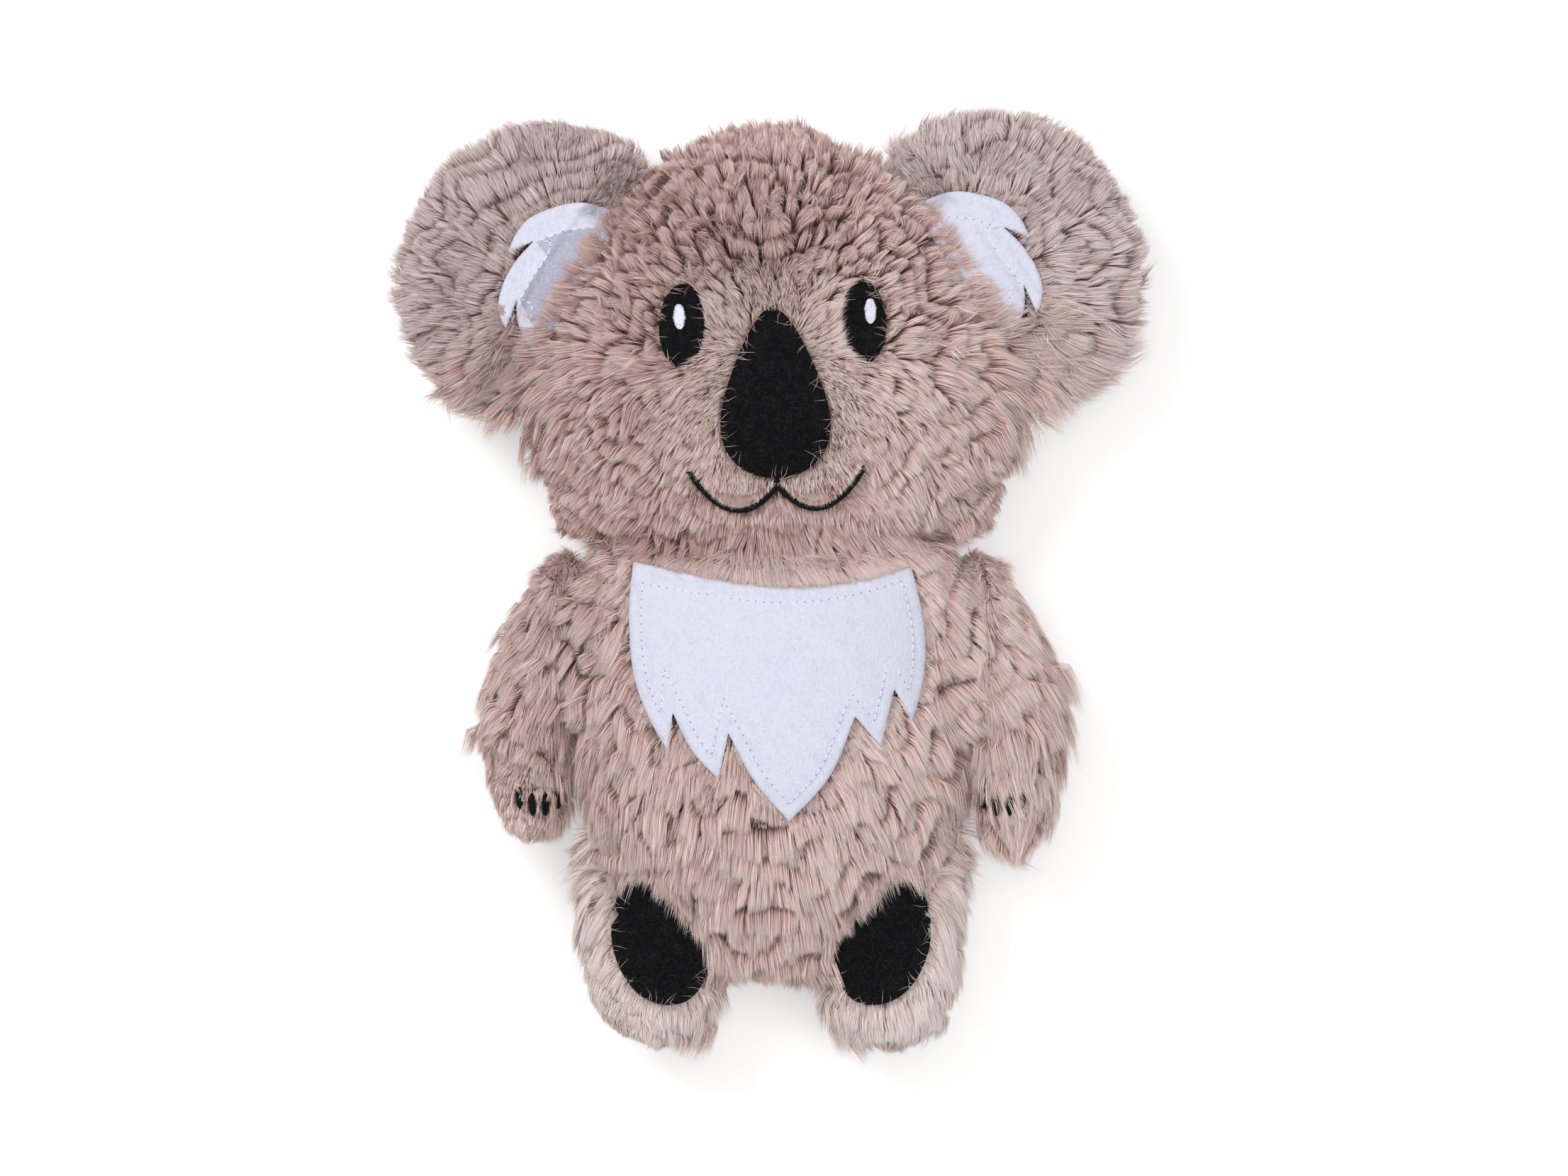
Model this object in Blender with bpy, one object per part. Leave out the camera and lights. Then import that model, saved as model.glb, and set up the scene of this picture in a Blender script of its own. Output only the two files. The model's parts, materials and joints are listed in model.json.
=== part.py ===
"""Plush koala lying on its back: stuffed fur covers, felt pieces and embroidery.

Metres, +Z up. The toy lies face up with its head towards +Y, so its own left side is at +X.
Every stuffed form is a sphere reshaped by tables of shares, split at the side seam into a
front and a back cover, with its stuffing inside.
"""

import math
from dataclasses import dataclass

import bmesh
import bpy
from mathutils import Matrix, Vector

# Where the toy lies
SEAM_HEIGHT = 0.0370
FLAT_DEPTH = 0.0005
TORSO_X = 0.0005
NECK_Y = 0.0186
HEAD_LEAN = math.radians(1.7)
HEAD_SIDE = 0.0025

# Fabric, thread and clearance
BODY_WALL = 0.008
LIMB_WALL = 0.005
FELT = 0.0015
THREAD = 0.0011
SEWN_GAP = 0.0003
FILL_GAP = 0.0010
EDGE_POWER = 1.15

# Torso
TORSO_LENGTH = 0.205
TORSO_HALF_WIDTH = 0.075
TORSO_FRONT = 0.041
TORSO_NECK_OVERRUN = 0.031

# Head
HEAD_LENGTH = 0.190
HEAD_HALF_WIDTH = 0.093
HEAD_FRONT = 0.045
HEAD_RISE = 0.156

# Ears
EAR_RADIUS = 0.058
EAR_HALF_DEPTH = 0.017
EAR_OUT = 0.0051
EAR_UP = 0.0038

# Arms
ARM_LENGTH = 0.114
ARM_HALF_WIDTH = 0.0172
ARM_HALF_DEPTH = 0.020
ARM_BOW = 0.0177
ARM_RISE = 0.032
ARM_ROOT_DROP = 0.039

# Legs
LEG_LENGTH = 0.104
LEG_HALF_WIDTH = 0.0255
LEG_HALF_DEPTH = 0.022
LEG_SIDE = 0.0022
LEG_RISE = 0.0515

# Sewn seams that bend like hinges
ROOT_ROLL = 0.006
ROOT_STANDOFF = 0.0035
ROOT_FRONT_ANGLE = math.radians(65)
ROOT_BACK_ANGLE = math.radians(50)
TORSO_FRONT_OPENING = math.radians(20)
HEAD_FRONT_OPENING = math.radians(8)
NECK_BACK_OPENING = math.radians(8)

# Felt and embroidery
EYE_WIDTH = 0.0185
EYE_HEIGHT = 0.0330
EYE_SPACING = 0.0700
EYE_RISE = 0.0806
EYE_LEAN = math.radians(3)
GLINT_WIDTH = 0.0046
GLINT_HEIGHT = 0.0098
NOSE_WIDTH = 0.0430
NOSE_HEIGHT = 0.0664
NOSE_RISE = 0.0536
MOUTH_WIDTH = 0.0680
MOUTH_RISE = 0.0175
MOUTH_LIFT = 0.0060
MOUTH_DIP = 0.0212
MOUTH_THREAD = 0.0021
FACE_SHIFT = 0.0005
BIB_WIDTH = 0.1160
BIB_HEIGHT = 0.1017
BIB_DROP = 0.0117
BIB_SHIFT = 0.0024
PAD_HALF_WIDTH = 0.0187
PAD_HALF_HEIGHT = 0.0244
CLAW_WIDTH = 0.0028
CLAW_LENGTH = 0.0088
CLAW_SPACING = 0.0051
CLAW_RISE = 0.0145
CLAW_INSET = 0.0055
CLAW_FAN = math.radians(2.8)

# Helpers that are larger than what they cut
CUT_REACH = 0.12
CUT_SPAN = 0.30

# Widths, depths and sideways bows at equal turns from one pole of the sphere to the other,
# as shares of each form's half width, half depths and bow
TORSO_WIDTH_SHARES = (0, 0.80, 1.00, 1.00, 1.00, 0.94, 0.590, 0.320, 0)
TORSO_DEPTH_SHARES = (0, 0.45, 0.64, 0.87, 1.00, 0.98, 0.78, 0.42, 0)
HEAD_WIDTH_SHARES = (0, 0.325, 0.615, 0.855, 1.00, 0.973, 0.850, 0.50, 0)
HEAD_DEPTH_SHARES = (0, 0.38, 0.72, 0.93, 1.00, 0.90, 0.64, 0.32, 0)
DISC_SHARES = (0, 0.383, 0.707, 0.924, 1.00, 0.924, 0.707, 0.383, 0)
EAR_DEPTH_SHARES = (0, 0.48, 0.80, 0.95, 1.00, 0.95, 0.80, 0.48, 0)
ARM_WIDTH_SHARES = (0, 0.35, 0.62, 0.94, 1.00, 0.94, 0.83, 0.55, 0)
ARM_DEPTH_SHARES = (0, 0.42, 0.70, 0.90, 1.00, 0.98, 0.86, 0.55, 0)
ARM_BOW_SHARES = (0.08, 0.08, 0.25, 0.50, 0.83, 1.00, 0.92, 0.82, 0.79)
LEG_WIDTH_SHARES = (0, 0.60, 0.85, 0.97, 1.00, 1.00, 0.92, 0.55, 0)
LEG_DEPTH_SHARES = (0, 0.60, 0.85, 0.95, 1.00, 1.00, 0.90, 0.55, 0)
NO_BOW_SHARES = (0, 0, 0, 0, 0, 0, 0, 0, 0)

# Two points of the edge that each limb is sewn to: half width share, length share
EAR_ROOT_SHARES = ((0.8215, 0.279), (0.930, 0.358))
LEG_ROOT_SHARES = ((0.885, 0.722), (0.230, 1.0050))

# Felt outlines: across and along shares, and whether the point is a sharp corner
BIB_SHARES = (
    (-0.485, 0.000, True),
    (-0.253, -0.057, False),
    (-0.013, -0.098, False),
    (0.223, -0.085, False),
    (0.451, -0.019, True),
    (0.486, -0.190, False),
    (0.499, -0.338, False),
    (0.486, -0.490, False),
    (0.453, -0.617, True),
    (0.394, -0.492, True),
    (0.348, -0.713, True),
    (0.262, -0.598, True),
    (0.176, -0.826, False),
    (0.040, -1.000, True),
    (-0.078, -0.842, False),
    (-0.164, -0.661, True),
    (-0.196, -0.839, True),
    (-0.285, -0.728, False),
    (-0.351, -0.582, True),
    (-0.363, -0.737, True),
    (-0.432, -0.600, False),
    (-0.482, -0.440, False),
    (-0.499, -0.207, False),
)
INNER_EAR_SHARES = (
    (-0.560, -0.036, True),
    (-0.500, 0.095, False),
    (-0.383, 0.207, False),
    (-0.226, 0.290, False),
    (-0.052, 0.312, True),
    (-0.219, 0.178, True),
    (0.067, 0.234, False),
    (0.214, 0.248, False),
    (0.436, 0.150, True),
    (0.226, 0.131, True),
    (0.321, 0.074, False),
    (0.430, -0.036, True),
)
PAD_SHARES = (
    (0.36, 0.94, False),
    (0.76, 0.86, False),
    (1.00, 0.38, False),
    (0.93, -0.22, False),
    (0.50, -0.78, False),
    (-0.10, -1.00, False),
    (-0.66, -0.90, False),
    (-0.97, -0.42, False),
    (-0.82, 0.00, False),
)
PAD_CENTRE_SHARES = (-0.12, 0.615)
ROOT_SHARES = {"ear": 0.8, "arm": 0.7, "leg": 1.0}
CLAW_ROW_SHARES = (-1.5, -0.5, 0.5, 1.5)
CLAW_DIP_SHARES = (0.25, -0.05, -0.05, 0.25)
NOSE_TAPER_SHARE = 0.53
NOSE_FULLEST_SHARE = 1.113
GLINT_SHIFT_SHARE = 0.48
WELD_SHARE = 0.01

# How finely the forms are divided: around, and from pole to pole
BODY_DETAIL = (24, 13)
LIMB_DETAIL = (14, 10)
ARC_STEPS = 10
GROOVE_SIDES = 24
OVAL_POINTS = 16
MOUTH_STEPS = 7
CURVE_STEPS = 3

UP = Vector((0, 0, 1))
LEFT, RIGHT = 1, -1
SIDE_NAMES = {LEFT: "left", RIGHT: "right"}


@dataclass(frozen=True)
class Hinge:
    """A sewn seam: a point of its axis, the level direction of the piece that it carries,
    and the angles above and below that direction which the piece may fill."""

    point: Vector
    outward: Vector
    above: float = ROOT_FRONT_ANGLE
    below: float = ROOT_BACK_ANGLE
    roll: float = ROOT_ROLL


@dataclass(frozen=True)
class Form:
    """A stuffed form: its first pole lies at its place, and its length runs to local -Y."""

    length: float
    half_width: float
    front: float
    back: float
    wall: float
    width_shares: tuple
    depth_shares: tuple
    place: Matrix
    hinge: Hinge
    side: int = LEFT
    bow: float = 0
    bow_shares: tuple = NO_BOW_SHARES
    detail: tuple = LIMB_DETAIL


def clear_scene():
    for old in list(bpy.data.objects):
        bpy.data.objects.remove(old, do_unlink=True)


def new_collection(name, shown=True):
    collection = bpy.data.collections.new(name)
    collection.hide_render = not shown
    bpy.context.scene.collection.children.link(collection)
    return collection


def new_material(name, colour, roughness):
    material = bpy.data.materials.new(name)
    material.use_nodes = True
    shader = material.node_tree.nodes["Principled BSDF"]
    shader.inputs["Base Color"].default_value = (*colour, 1)
    shader.inputs["Roughness"].default_value = roughness
    shader.inputs["Metallic"].default_value = 0
    material.diffuse_color = (*colour, 1)
    return material


def new_object(name, mesh, collection, material=None):
    made = bpy.data.objects.new(name, mesh)
    collection.objects.link(made)
    if material is not None:
        mesh.materials.append(material)
    return made


def new_cutter(name, mesh):
    cutter = new_object(name, mesh, CUTTERS)
    cutter.hide_render = True
    cutter.display_type = "WIRE"
    return cutter


def finish_mesh(bm, name):
    bmesh.ops.recalc_face_normals(bm, faces=bm.faces)
    if bm.calc_volume(signed=True) < 0:
        bmesh.ops.reverse_faces(bm, faces=bm.faces)
    mesh = bpy.data.meshes.new(name)
    bm.to_mesh(mesh)
    bm.free()
    return mesh


def add_cut(piece, cutter, operation="DIFFERENCE"):
    cut = piece.modifiers.new(cutter.name, "BOOLEAN")
    cut.operation = operation
    cut.solver = "EXACT"
    cut.object = cutter


# Stuffed forms


def smooth_share(shares, turn):
    """A table's value at this turn, where the table runs in equal steps over half a turn."""
    steps = len(shares) - 1
    place = turn / math.pi * steps
    first = min(int(place), steps - 1)
    part = place - first
    before = shares[max(first - 1, 0)]
    start, end = shares[first], shares[first + 1]
    after = shares[min(first + 2, steps)]
    if first == 0:
        before = -end
    if first == steps - 1:
        after = -start
    rise = (end - before) / 2
    fall = (after - start) / 2
    return (
        start
        + rise * part
        + (3 * (end - start) - 2 * rise - fall) * part**2
        + (2 * (start - end) + rise + fall) * part**3
    )


def bow_share(form, turn):
    """Bows end where they are, so their table is read in straight steps."""
    steps = len(form.bow_shares) - 1
    place = turn / math.pi * steps
    first = min(int(place), steps - 1)
    part = place - first
    return form.bow_shares[first] * (1 - part) + form.bow_shares[first + 1] * part


def form_point(form, unit, inset):
    """Where a point of the unit sphere goes, on a form made smaller by the inset."""
    turn = math.acos(max(-1, min(1, unit.z)))
    around = math.atan2(unit.y, unit.x)
    along = (1 - math.cos(turn)) / 2
    width = (form.half_width - inset) * smooth_share(form.width_shares, turn)
    reach = form.front if around >= 0 else form.back
    depth = (reach - inset) * smooth_share(form.depth_shares, turn)
    rise = math.copysign(abs(math.sin(around)) ** EDGE_POWER, math.sin(around))
    across = form.bow * bow_share(form, turn) + width * math.cos(around)
    return Vector((across, -inset - (form.length - 2 * inset) * along, depth * rise))


def form_mesh(form, name, inset):
    bm = bmesh.new()
    around, along = form.detail
    bmesh.ops.create_uvsphere(bm, u_segments=around, v_segments=along, radius=1)
    mirror = Matrix.Diagonal((form.side, 1, 1, 1))
    for vertex in bm.verts:
        vertex.co = form.place @ mirror @ form_point(form, vertex.co, inset)
    bmesh.ops.triangulate(bm, faces=bm.faces, quad_method="FIXED")
    return finish_mesh(bm, name)


# Cutters


def prism(name, points, corners, low, high, place):
    """A flat outline made thick from low to high: a filled 2D curve, turned into a mesh."""
    curve = bpy.data.curves.new(name, "CURVE")
    curve.dimensions = "2D"
    curve.fill_mode = "BOTH"
    curve.resolution_u = CURVE_STEPS
    curve.extrude = (high - low) / 2
    spline = curve.splines.new("BEZIER")
    spline.bezier_points.add(len(points) - 1)
    spline.use_cyclic_u = True
    for knot, point, corner in zip(spline.bezier_points, points, corners, strict=True):
        kind = "VECTOR" if corner else "AUTO"
        knot.handle_left_type = kind
        knot.handle_right_type = kind
        knot.co = (point[0], point[1], 0)
    if all(corners):
        curve.resolution_u = 1
    guide = new_object(name + "_guide", curve, CUTTERS)
    guide.matrix_world = place @ Matrix.Translation((0, 0, (low + high) / 2))
    bpy.context.view_layer.update()
    graph = bpy.context.evaluated_depsgraph_get()
    mesh = bpy.data.meshes.new_from_object(guide.evaluated_get(graph))
    mesh.transform(guide.matrix_world)
    bpy.data.objects.remove(guide, do_unlink=True)
    bm = bmesh.new()
    bm.from_mesh(mesh)
    bpy.data.meshes.remove(mesh)
    bmesh.ops.remove_doubles(bm, verts=bm.verts, dist=SEWN_GAP * WELD_SHARE)
    return finish_mesh(bm, name)


def wedge_outline(hinge, inset):
    """The outline of all that the carried piece may not fill, seen along the seam.

    An uncut root is rolled, with the hinge's roll as its radius. An inset one ends in a point.
    """
    above, below = hinge.above, hinge.below
    if inset > 0 or hinge.roll == 0:
        edge = inset if inset > 0 else SEWN_GAP / 2
        spread = math.sin(above + below)
        apex = Vector(
            (
                edge * (math.cos(below) + math.cos(above)) / spread,
                edge * (math.sin(above) - math.sin(below)) / spread,
            )
        )
        inner = [apex]
    else:
        apex = Vector((0, 0))
        inner = []
        for step in range(ARC_STEPS + 1):
            angle = above + (2 * math.pi - below - above) * step / ARC_STEPS
            inner.append(hinge.roll * Vector((math.cos(angle), math.sin(angle))))
    low_end = apex + CUT_REACH * Vector((math.cos(below), -math.sin(below)))
    high_end = apex + CUT_REACH * Vector((math.cos(above), math.sin(above)))
    far = CUT_SPAN / 2
    corners = [(low_end.x, -far), (-far, -far), (-far, far), (high_end.x, far)]
    return inner + [low_end] + [Vector(corner) for corner in corners] + [high_end]


def wedge_cutter(name, hinge, inset):
    points = wedge_outline(hinge, inset)
    along = hinge.outward.cross(UP)
    axes = Matrix((hinge.outward, UP, along)).transposed().to_4x4()
    place = Matrix.Translation(hinge.point) @ axes
    corners = [True] * len(points)
    return new_cutter(name, prism(name, points, corners, -CUT_SPAN / 2, CUT_SPAN / 2, place))


def groove_cutter(name, form, length):
    """A round bar along the seam, which hollows the larger piece for the limb's rolled root."""
    bm = bmesh.new()
    radius = form.hinge.roll + SEWN_GAP
    bmesh.ops.create_cone(
        bm, cap_ends=True, segments=GROOVE_SIDES, radius1=radius, radius2=radius, depth=length
    )
    along = form.hinge.outward.cross(UP)
    turn = UP.rotation_difference(along).to_matrix().to_4x4()
    half_step = Matrix.Rotation(math.pi / GROOVE_SIDES, 4, "Z")
    bm.transform(Matrix.Translation(form.hinge.point) @ turn @ half_step)
    return new_cutter(name, finish_mesh(bm, name))


def box_cutter(name, low, high):
    bm = bmesh.new()
    bmesh.ops.create_cube(bm, size=1)
    size = Vector((2 * CUT_SPAN, 2 * CUT_SPAN, high - low))
    bm.transform(Matrix.Translation((0, 0, (low + high) / 2)) @ Matrix.Diagonal((*size, 1)))
    return new_cutter(name, finish_mesh(bm, name))


def form_cutter(name, form, inset, root_inset=None):
    """The form made smaller, or larger where the inset is negative, and cut off at its root."""
    cutter = new_cutter(name, form_mesh(form, name, inset))
    if root_inset is not None:
        add_cut(cutter, wedge_cutter(name + "_root", form.hinge, root_inset))
    return cutter


# Pieces


def stuffed_part(name, form, frame, grooves=(), on_floor=False):
    """The two covers of a stuffed form and the stuffing between them."""
    root = wedge_cutter(name + "_root", form.hinge, 0)
    hollow = form_cutter(name + "_hollow", form, form.wall, form.wall)
    for half, other_side in (("front", BELOW_SEAM), ("back", ABOVE_SEAM)):
        mesh = form_mesh(form, f"{name}_{half}_cover", 0)
        cover = new_object(f"{name}_{half}_cover", mesh, TOY, FUR)
        add_cut(cover, root)
        for groove in grooves:
            add_cut(cover, groove)
        add_cut(cover, other_side)
        add_cut(cover, hollow)
        if on_floor and half == "back":
            add_cut(cover, BELOW_FLOOR)
        attach(cover, frame)
    inset = form.wall + FILL_GAP
    filling = form_mesh(form, name + "_stuffing", inset)
    stuffing = new_object(name + "_stuffing", filling, TOY, FIBRE)
    add_cut(stuffing, wedge_cutter(name + "_stuffing_root", form.hinge, inset))
    attach(stuffing, frame)


def sewn_piece(name, form, frame, points, corners, material, thickness, lift=0):
    """A flat piece of felt or thread that follows the front of a form."""
    under = -SEWN_GAP - lift
    low, high = SEAM_HEIGHT + form.wall / 2, SEAM_HEIGHT + CUT_REACH
    outline = prism(name, points, corners, low, high, Matrix())
    piece = new_object(name, outline, TOY, material)
    top = form_cutter(name + "_top", form, under - thickness, SEWN_GAP)
    add_cut(piece, top, "INTERSECT")
    add_cut(piece, form_cutter(name + "_underside", form, under))
    attach(piece, frame)
    return piece


def attach(piece, frame):
    piece.parent = frame
    piece.matrix_parent_inverse = frame.matrix_world.inverted()


def new_frame(name, hinge, parent=None):
    """An empty on a seam's axis, which carries the pieces that move about it."""
    frame = bpy.data.objects.new(name, None)
    TOY.objects.link(frame)
    frame.empty_display_size = ROOT_ROLL
    frame.matrix_world = Matrix.Translation(hinge.point)
    bpy.context.view_layer.update()
    if parent is not None:
        attach(frame, parent)
        bpy.context.view_layer.update()
    return frame


# Outlines


def moved_outline(shares, across, along, centre, turn=0, side=LEFT):
    """The points of a table of shares, sized, turned, put on one side and placed."""
    cos, sin = math.cos(turn), math.sin(turn)
    points = []
    for share_across, share_along, _ in shares:
        x, y = share_across * across, share_along * along
        points.append((side * (centre[0] + x * cos - y * sin), centre[1] + x * sin + y * cos))
    return points, [corner for _, _, corner in shares]


def oval(width, height, centre, turn=0, side=LEFT):
    shares = [
        (math.cos(2 * math.pi * step / OVAL_POINTS), math.sin(2 * math.pi * step / OVAL_POINTS), False)
        for step in range(OVAL_POINTS)
    ]
    return moved_outline(shares, width / 2, height / 2, centre, turn, side)


def nose_outline():
    """An egg that is fullest below its middle."""
    points = []
    for step in range(OVAL_POINTS):
        angle = 2 * math.pi * step / OVAL_POINTS
        taper = (1 - NOSE_TAPER_SHARE * math.cos(angle)) / NOSE_FULLEST_SHARE
        x = NOSE_WIDTH / 2 * math.sin(angle) * taper
        points.append((FACE_SHIFT + x, NOSE_RISE + NOSE_HEIGHT / 2 * math.cos(angle)))
    return points, [False] * OVAL_POINTS


def mouth_outline():
    """Two smiling arcs that meet under the nose, as one ribbon of thread."""
    upper, lower = [], []
    half = MOUTH_WIDTH / 2
    for step in range(-MOUTH_STEPS, MOUTH_STEPS + 1):
        share = abs(step) / MOUTH_STEPS
        dip = 2 * share * (1 - share) * MOUTH_DIP
        x = half * step / MOUTH_STEPS
        y = MOUTH_RISE + MOUTH_LIFT * share**2 - dip
        slope = (2 * MOUTH_LIFT * share - 2 * (1 - 2 * share) * MOUTH_DIP) / half
        normal = Vector((-slope * math.copysign(1, step), 1)).normalized()
        if step == 0:
            normal = Vector((0, math.hypot(slope, 1)))
        offset = normal * MOUTH_THREAD / 2
        upper.append((FACE_SHIFT + x + offset.x, y + offset.y))
        lower.append((FACE_SHIFT + x - offset.x, y - offset.y))
    points = upper + lower[::-1]
    return points, [True] * len(points)


def on_head(outline):
    """Points given from the middle of the neck, carried along with the head's lean."""
    points, corners = outline
    place = [HEAD_PLACE @ Vector((x, y, 0)) for x, y in points]
    return [(point.x, point.y) for point in place], corners


def beside(outline, origin):
    points, corners = outline
    return [(origin.x + x, origin.y + y) for x, y in points], corners


# Seams


def level(x, y):
    return Vector((x, y, 0))


def root_line(shares, half_width, length, start):
    """The middle of a sewn edge and its outward direction, from two points of the edge."""
    high, low = (Vector((x * half_width, start - y * length)) for x, y in shares)
    along = (low - high).normalized()
    outward = Vector((-along.y, along.x))
    return (high + low) / 2 + outward * ROOT_STANDOFF, outward


def neck_hinge(outward, front_opening):
    above = math.pi / 2 - front_opening
    below = math.pi / 2 - NECK_BACK_OPENING
    return Hinge(NECK, outward, above, below, 0)


def limb_hinge(middle, outward, place, side):
    """A limb's seam, given on the toy's left, put on one side and then on the toy."""
    point = place @ Vector((side * middle.x, middle.y, 0))
    turned = place.to_3x3() @ Vector((side * outward.x, outward.y, 0))
    return Hinge(point, turned)


def make_torso():
    start = level(0, TORSO_NECK_OVERRUN)
    return Form(
        TORSO_LENGTH,
        TORSO_HALF_WIDTH,
        TORSO_FRONT,
        SEAM_HEIGHT + FLAT_DEPTH,
        BODY_WALL,
        TORSO_WIDTH_SHARES,
        TORSO_DEPTH_SHARES,
        NECK_PLACE @ Matrix.Translation(start),
        neck_hinge(level(0, -1), TORSO_FRONT_OPENING),
        detail=BODY_DETAIL,
    )


def make_head():
    return Form(
        HEAD_LENGTH,
        HEAD_HALF_WIDTH,
        HEAD_FRONT,
        SEAM_HEIGHT + FLAT_DEPTH,
        BODY_WALL,
        HEAD_WIDTH_SHARES,
        HEAD_DEPTH_SHARES,
        HEAD_PLACE @ Matrix.Translation(level(0, HEAD_RISE)),
        neck_hinge(level(0, 1), HEAD_FRONT_OPENING),
        detail=BODY_DETAIL,
    )


def make_ear(side):
    middle, outward = root_line(
        EAR_ROOT_SHARES, HEAD_HALF_WIDTH, HEAD_LENGTH, HEAD_RISE
    )
    hinge = limb_hinge(middle, outward, HEAD_PLACE, side)
    along = Vector((outward.y, -outward.x))
    start = middle + outward * EAR_OUT - along * (EAR_UP + EAR_RADIUS)
    turn = math.atan2(outward.y, outward.x)
    mirror = Matrix.Diagonal((side, 1, 1, 1))
    place = HEAD_PLACE @ mirror @ Matrix.Translation(level(*start)) @ Matrix.Rotation(turn, 4, "Z")
    form = Form(
        2 * EAR_RADIUS,
        EAR_RADIUS,
        EAR_HALF_DEPTH,
        EAR_HALF_DEPTH,
        LIMB_WALL,
        DISC_SHARES,
        EAR_DEPTH_SHARES,
        place @ mirror,
        hinge,
        side,
    )
    return form, hinge, middle, outward, along


def make_arm(side):
    middle = Vector((TORSO_HALF_WIDTH + ROOT_STANDOFF, -ARM_ROOT_DROP))
    hinge = limb_hinge(middle, Vector((1, 0)), NECK_PLACE, side)
    start = Vector((side * middle.x, middle.y + ARM_RISE, 0))
    return Form(
        ARM_LENGTH,
        ARM_HALF_WIDTH,
        ARM_HALF_DEPTH,
        ARM_HALF_DEPTH,
        LIMB_WALL,
        ARM_WIDTH_SHARES,
        ARM_DEPTH_SHARES,
        NECK_PLACE @ Matrix.Translation(start),
        hinge,
        side,
        ARM_BOW,
        ARM_BOW_SHARES,
    )


def make_leg(side):
    middle, outward = root_line(
        LEG_ROOT_SHARES, TORSO_HALF_WIDTH, TORSO_LENGTH, TORSO_NECK_OVERRUN
    )
    hinge = limb_hinge(middle, outward, NECK_PLACE, side)
    start = Vector((side * (middle.x + LEG_SIDE), middle.y + LEG_RISE, 0))
    return Form(
        LEG_LENGTH,
        LEG_HALF_WIDTH,
        LEG_HALF_DEPTH,
        LEG_HALF_DEPTH,
        LIMB_WALL,
        LEG_WIDTH_SHARES,
        LEG_DEPTH_SHARES,
        NECK_PLACE @ Matrix.Translation(start),
        hinge,
        side,
    )


def dress_face(head, frame):
    """Felt eyes with embroidered glints, felt nose and embroidered mouth."""
    for side, name in SIDE_NAMES.items():
        centre = (EYE_SPACING / 2 + side * FACE_SHIFT, EYE_RISE)
        eye = on_head(oval(EYE_WIDTH, EYE_HEIGHT, centre, EYE_LEAN, side))
        sewn_piece(f"{name}_eye", head, frame, *eye, BLACK_FELT, FELT)
        outward_shift = GLINT_WIDTH * GLINT_SHIFT_SHARE
        shine = (centre[0] + outward_shift, EYE_RISE + GLINT_HEIGHT * GLINT_SHIFT_SHARE)
        glint = on_head(oval(GLINT_WIDTH, GLINT_HEIGHT, shine, 0, side))
        lift = FELT + SEWN_GAP
        sewn_piece(f"{name}_eye_glint", head, frame, *glint, WHITE_THREAD, THREAD, lift)
    sewn_piece("nose", head, frame, *on_head(nose_outline()), BLACK_FELT, FELT)
    sewn_piece("mouth_stitching", head, frame, *on_head(mouth_outline()), BLACK_THREAD, THREAD)


def dress_torso(torso, frame):
    centre = (BIB_SHIFT, -BIB_DROP)
    points, corners = moved_outline(BIB_SHARES, BIB_WIDTH, BIB_HEIGHT, centre)
    bib = beside((points, corners), NECK)
    sewn_piece("chest_bib", torso, frame, *bib, WHITE_FELT, FELT)


def dress_ear(name, side, ear, frame, middle, outward, along):
    disc = middle + outward * EAR_OUT - along * EAR_UP
    points = []
    for share_along, share_out, _ in INNER_EAR_SHARES:
        spot = disc + (along * share_along + outward * share_out) * EAR_RADIUS
        points.append((side * spot.x, spot.y))
    outline = on_head((points, [corner for _, _, corner in INNER_EAR_SHARES]))
    sewn_piece(f"{name}_inner_ear", ear, frame, *outline, WHITE_FELT, FELT)


def dress_arm(name, side, arm, frame):
    """Four embroidered claws across the paw."""
    for index, (row, dip) in enumerate(zip(CLAW_ROW_SHARES, CLAW_DIP_SHARES, strict=True)):
        x = ARM_BOW - CLAW_INSET + row * CLAW_SPACING
        y = dip * CLAW_LENGTH + CLAW_RISE - ARM_LENGTH
        claw = oval(CLAW_WIDTH, CLAW_LENGTH, (x, y), -row * CLAW_FAN, side)
        claw = beside(claw, arm.place.translation)
        sewn_piece(f"{name}_claw_{index + 1}", arm, frame, *claw, BLACK_THREAD, THREAD)


def dress_leg(name, side, leg, frame):
    across, along = PAD_CENTRE_SHARES
    centre = (across * LEG_HALF_WIDTH, -along * LEG_LENGTH)
    pad = moved_outline(PAD_SHARES, PAD_HALF_WIDTH, PAD_HALF_HEIGHT, centre, 0, side)
    pad = beside(pad, leg.place.translation)
    sewn_piece(f"{name}_foot_pad", leg, frame, *pad, BLACK_FELT, FELT)


clear_scene()
TOY = new_collection("plush_koala")
CUTTERS = new_collection("cutters", shown=False)

FUR = new_material("fur", (0.56, 0.42, 0.37), 0.95)
FIBRE = new_material("stuffing_fibre", (0.86, 0.86, 0.84), 1.0)
WHITE_FELT = new_material("white_felt", (0.80, 0.81, 0.86), 0.95)
BLACK_FELT = new_material("black_felt", (0.010, 0.010, 0.011), 0.95)
WHITE_THREAD = new_material("white_thread", (0.84, 0.83, 0.90), 0.6)
BLACK_THREAD = new_material("black_thread", (0.016, 0.016, 0.018), 0.6)

NECK = Vector((TORSO_X, NECK_Y, SEAM_HEIGHT))
NECK_PLACE = Matrix.Translation(NECK)
HEAD_PLACE = NECK_PLACE @ Matrix.Translation(level(HEAD_SIDE, 0)) @ Matrix.Rotation(HEAD_LEAN, 4, "Z")

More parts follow.
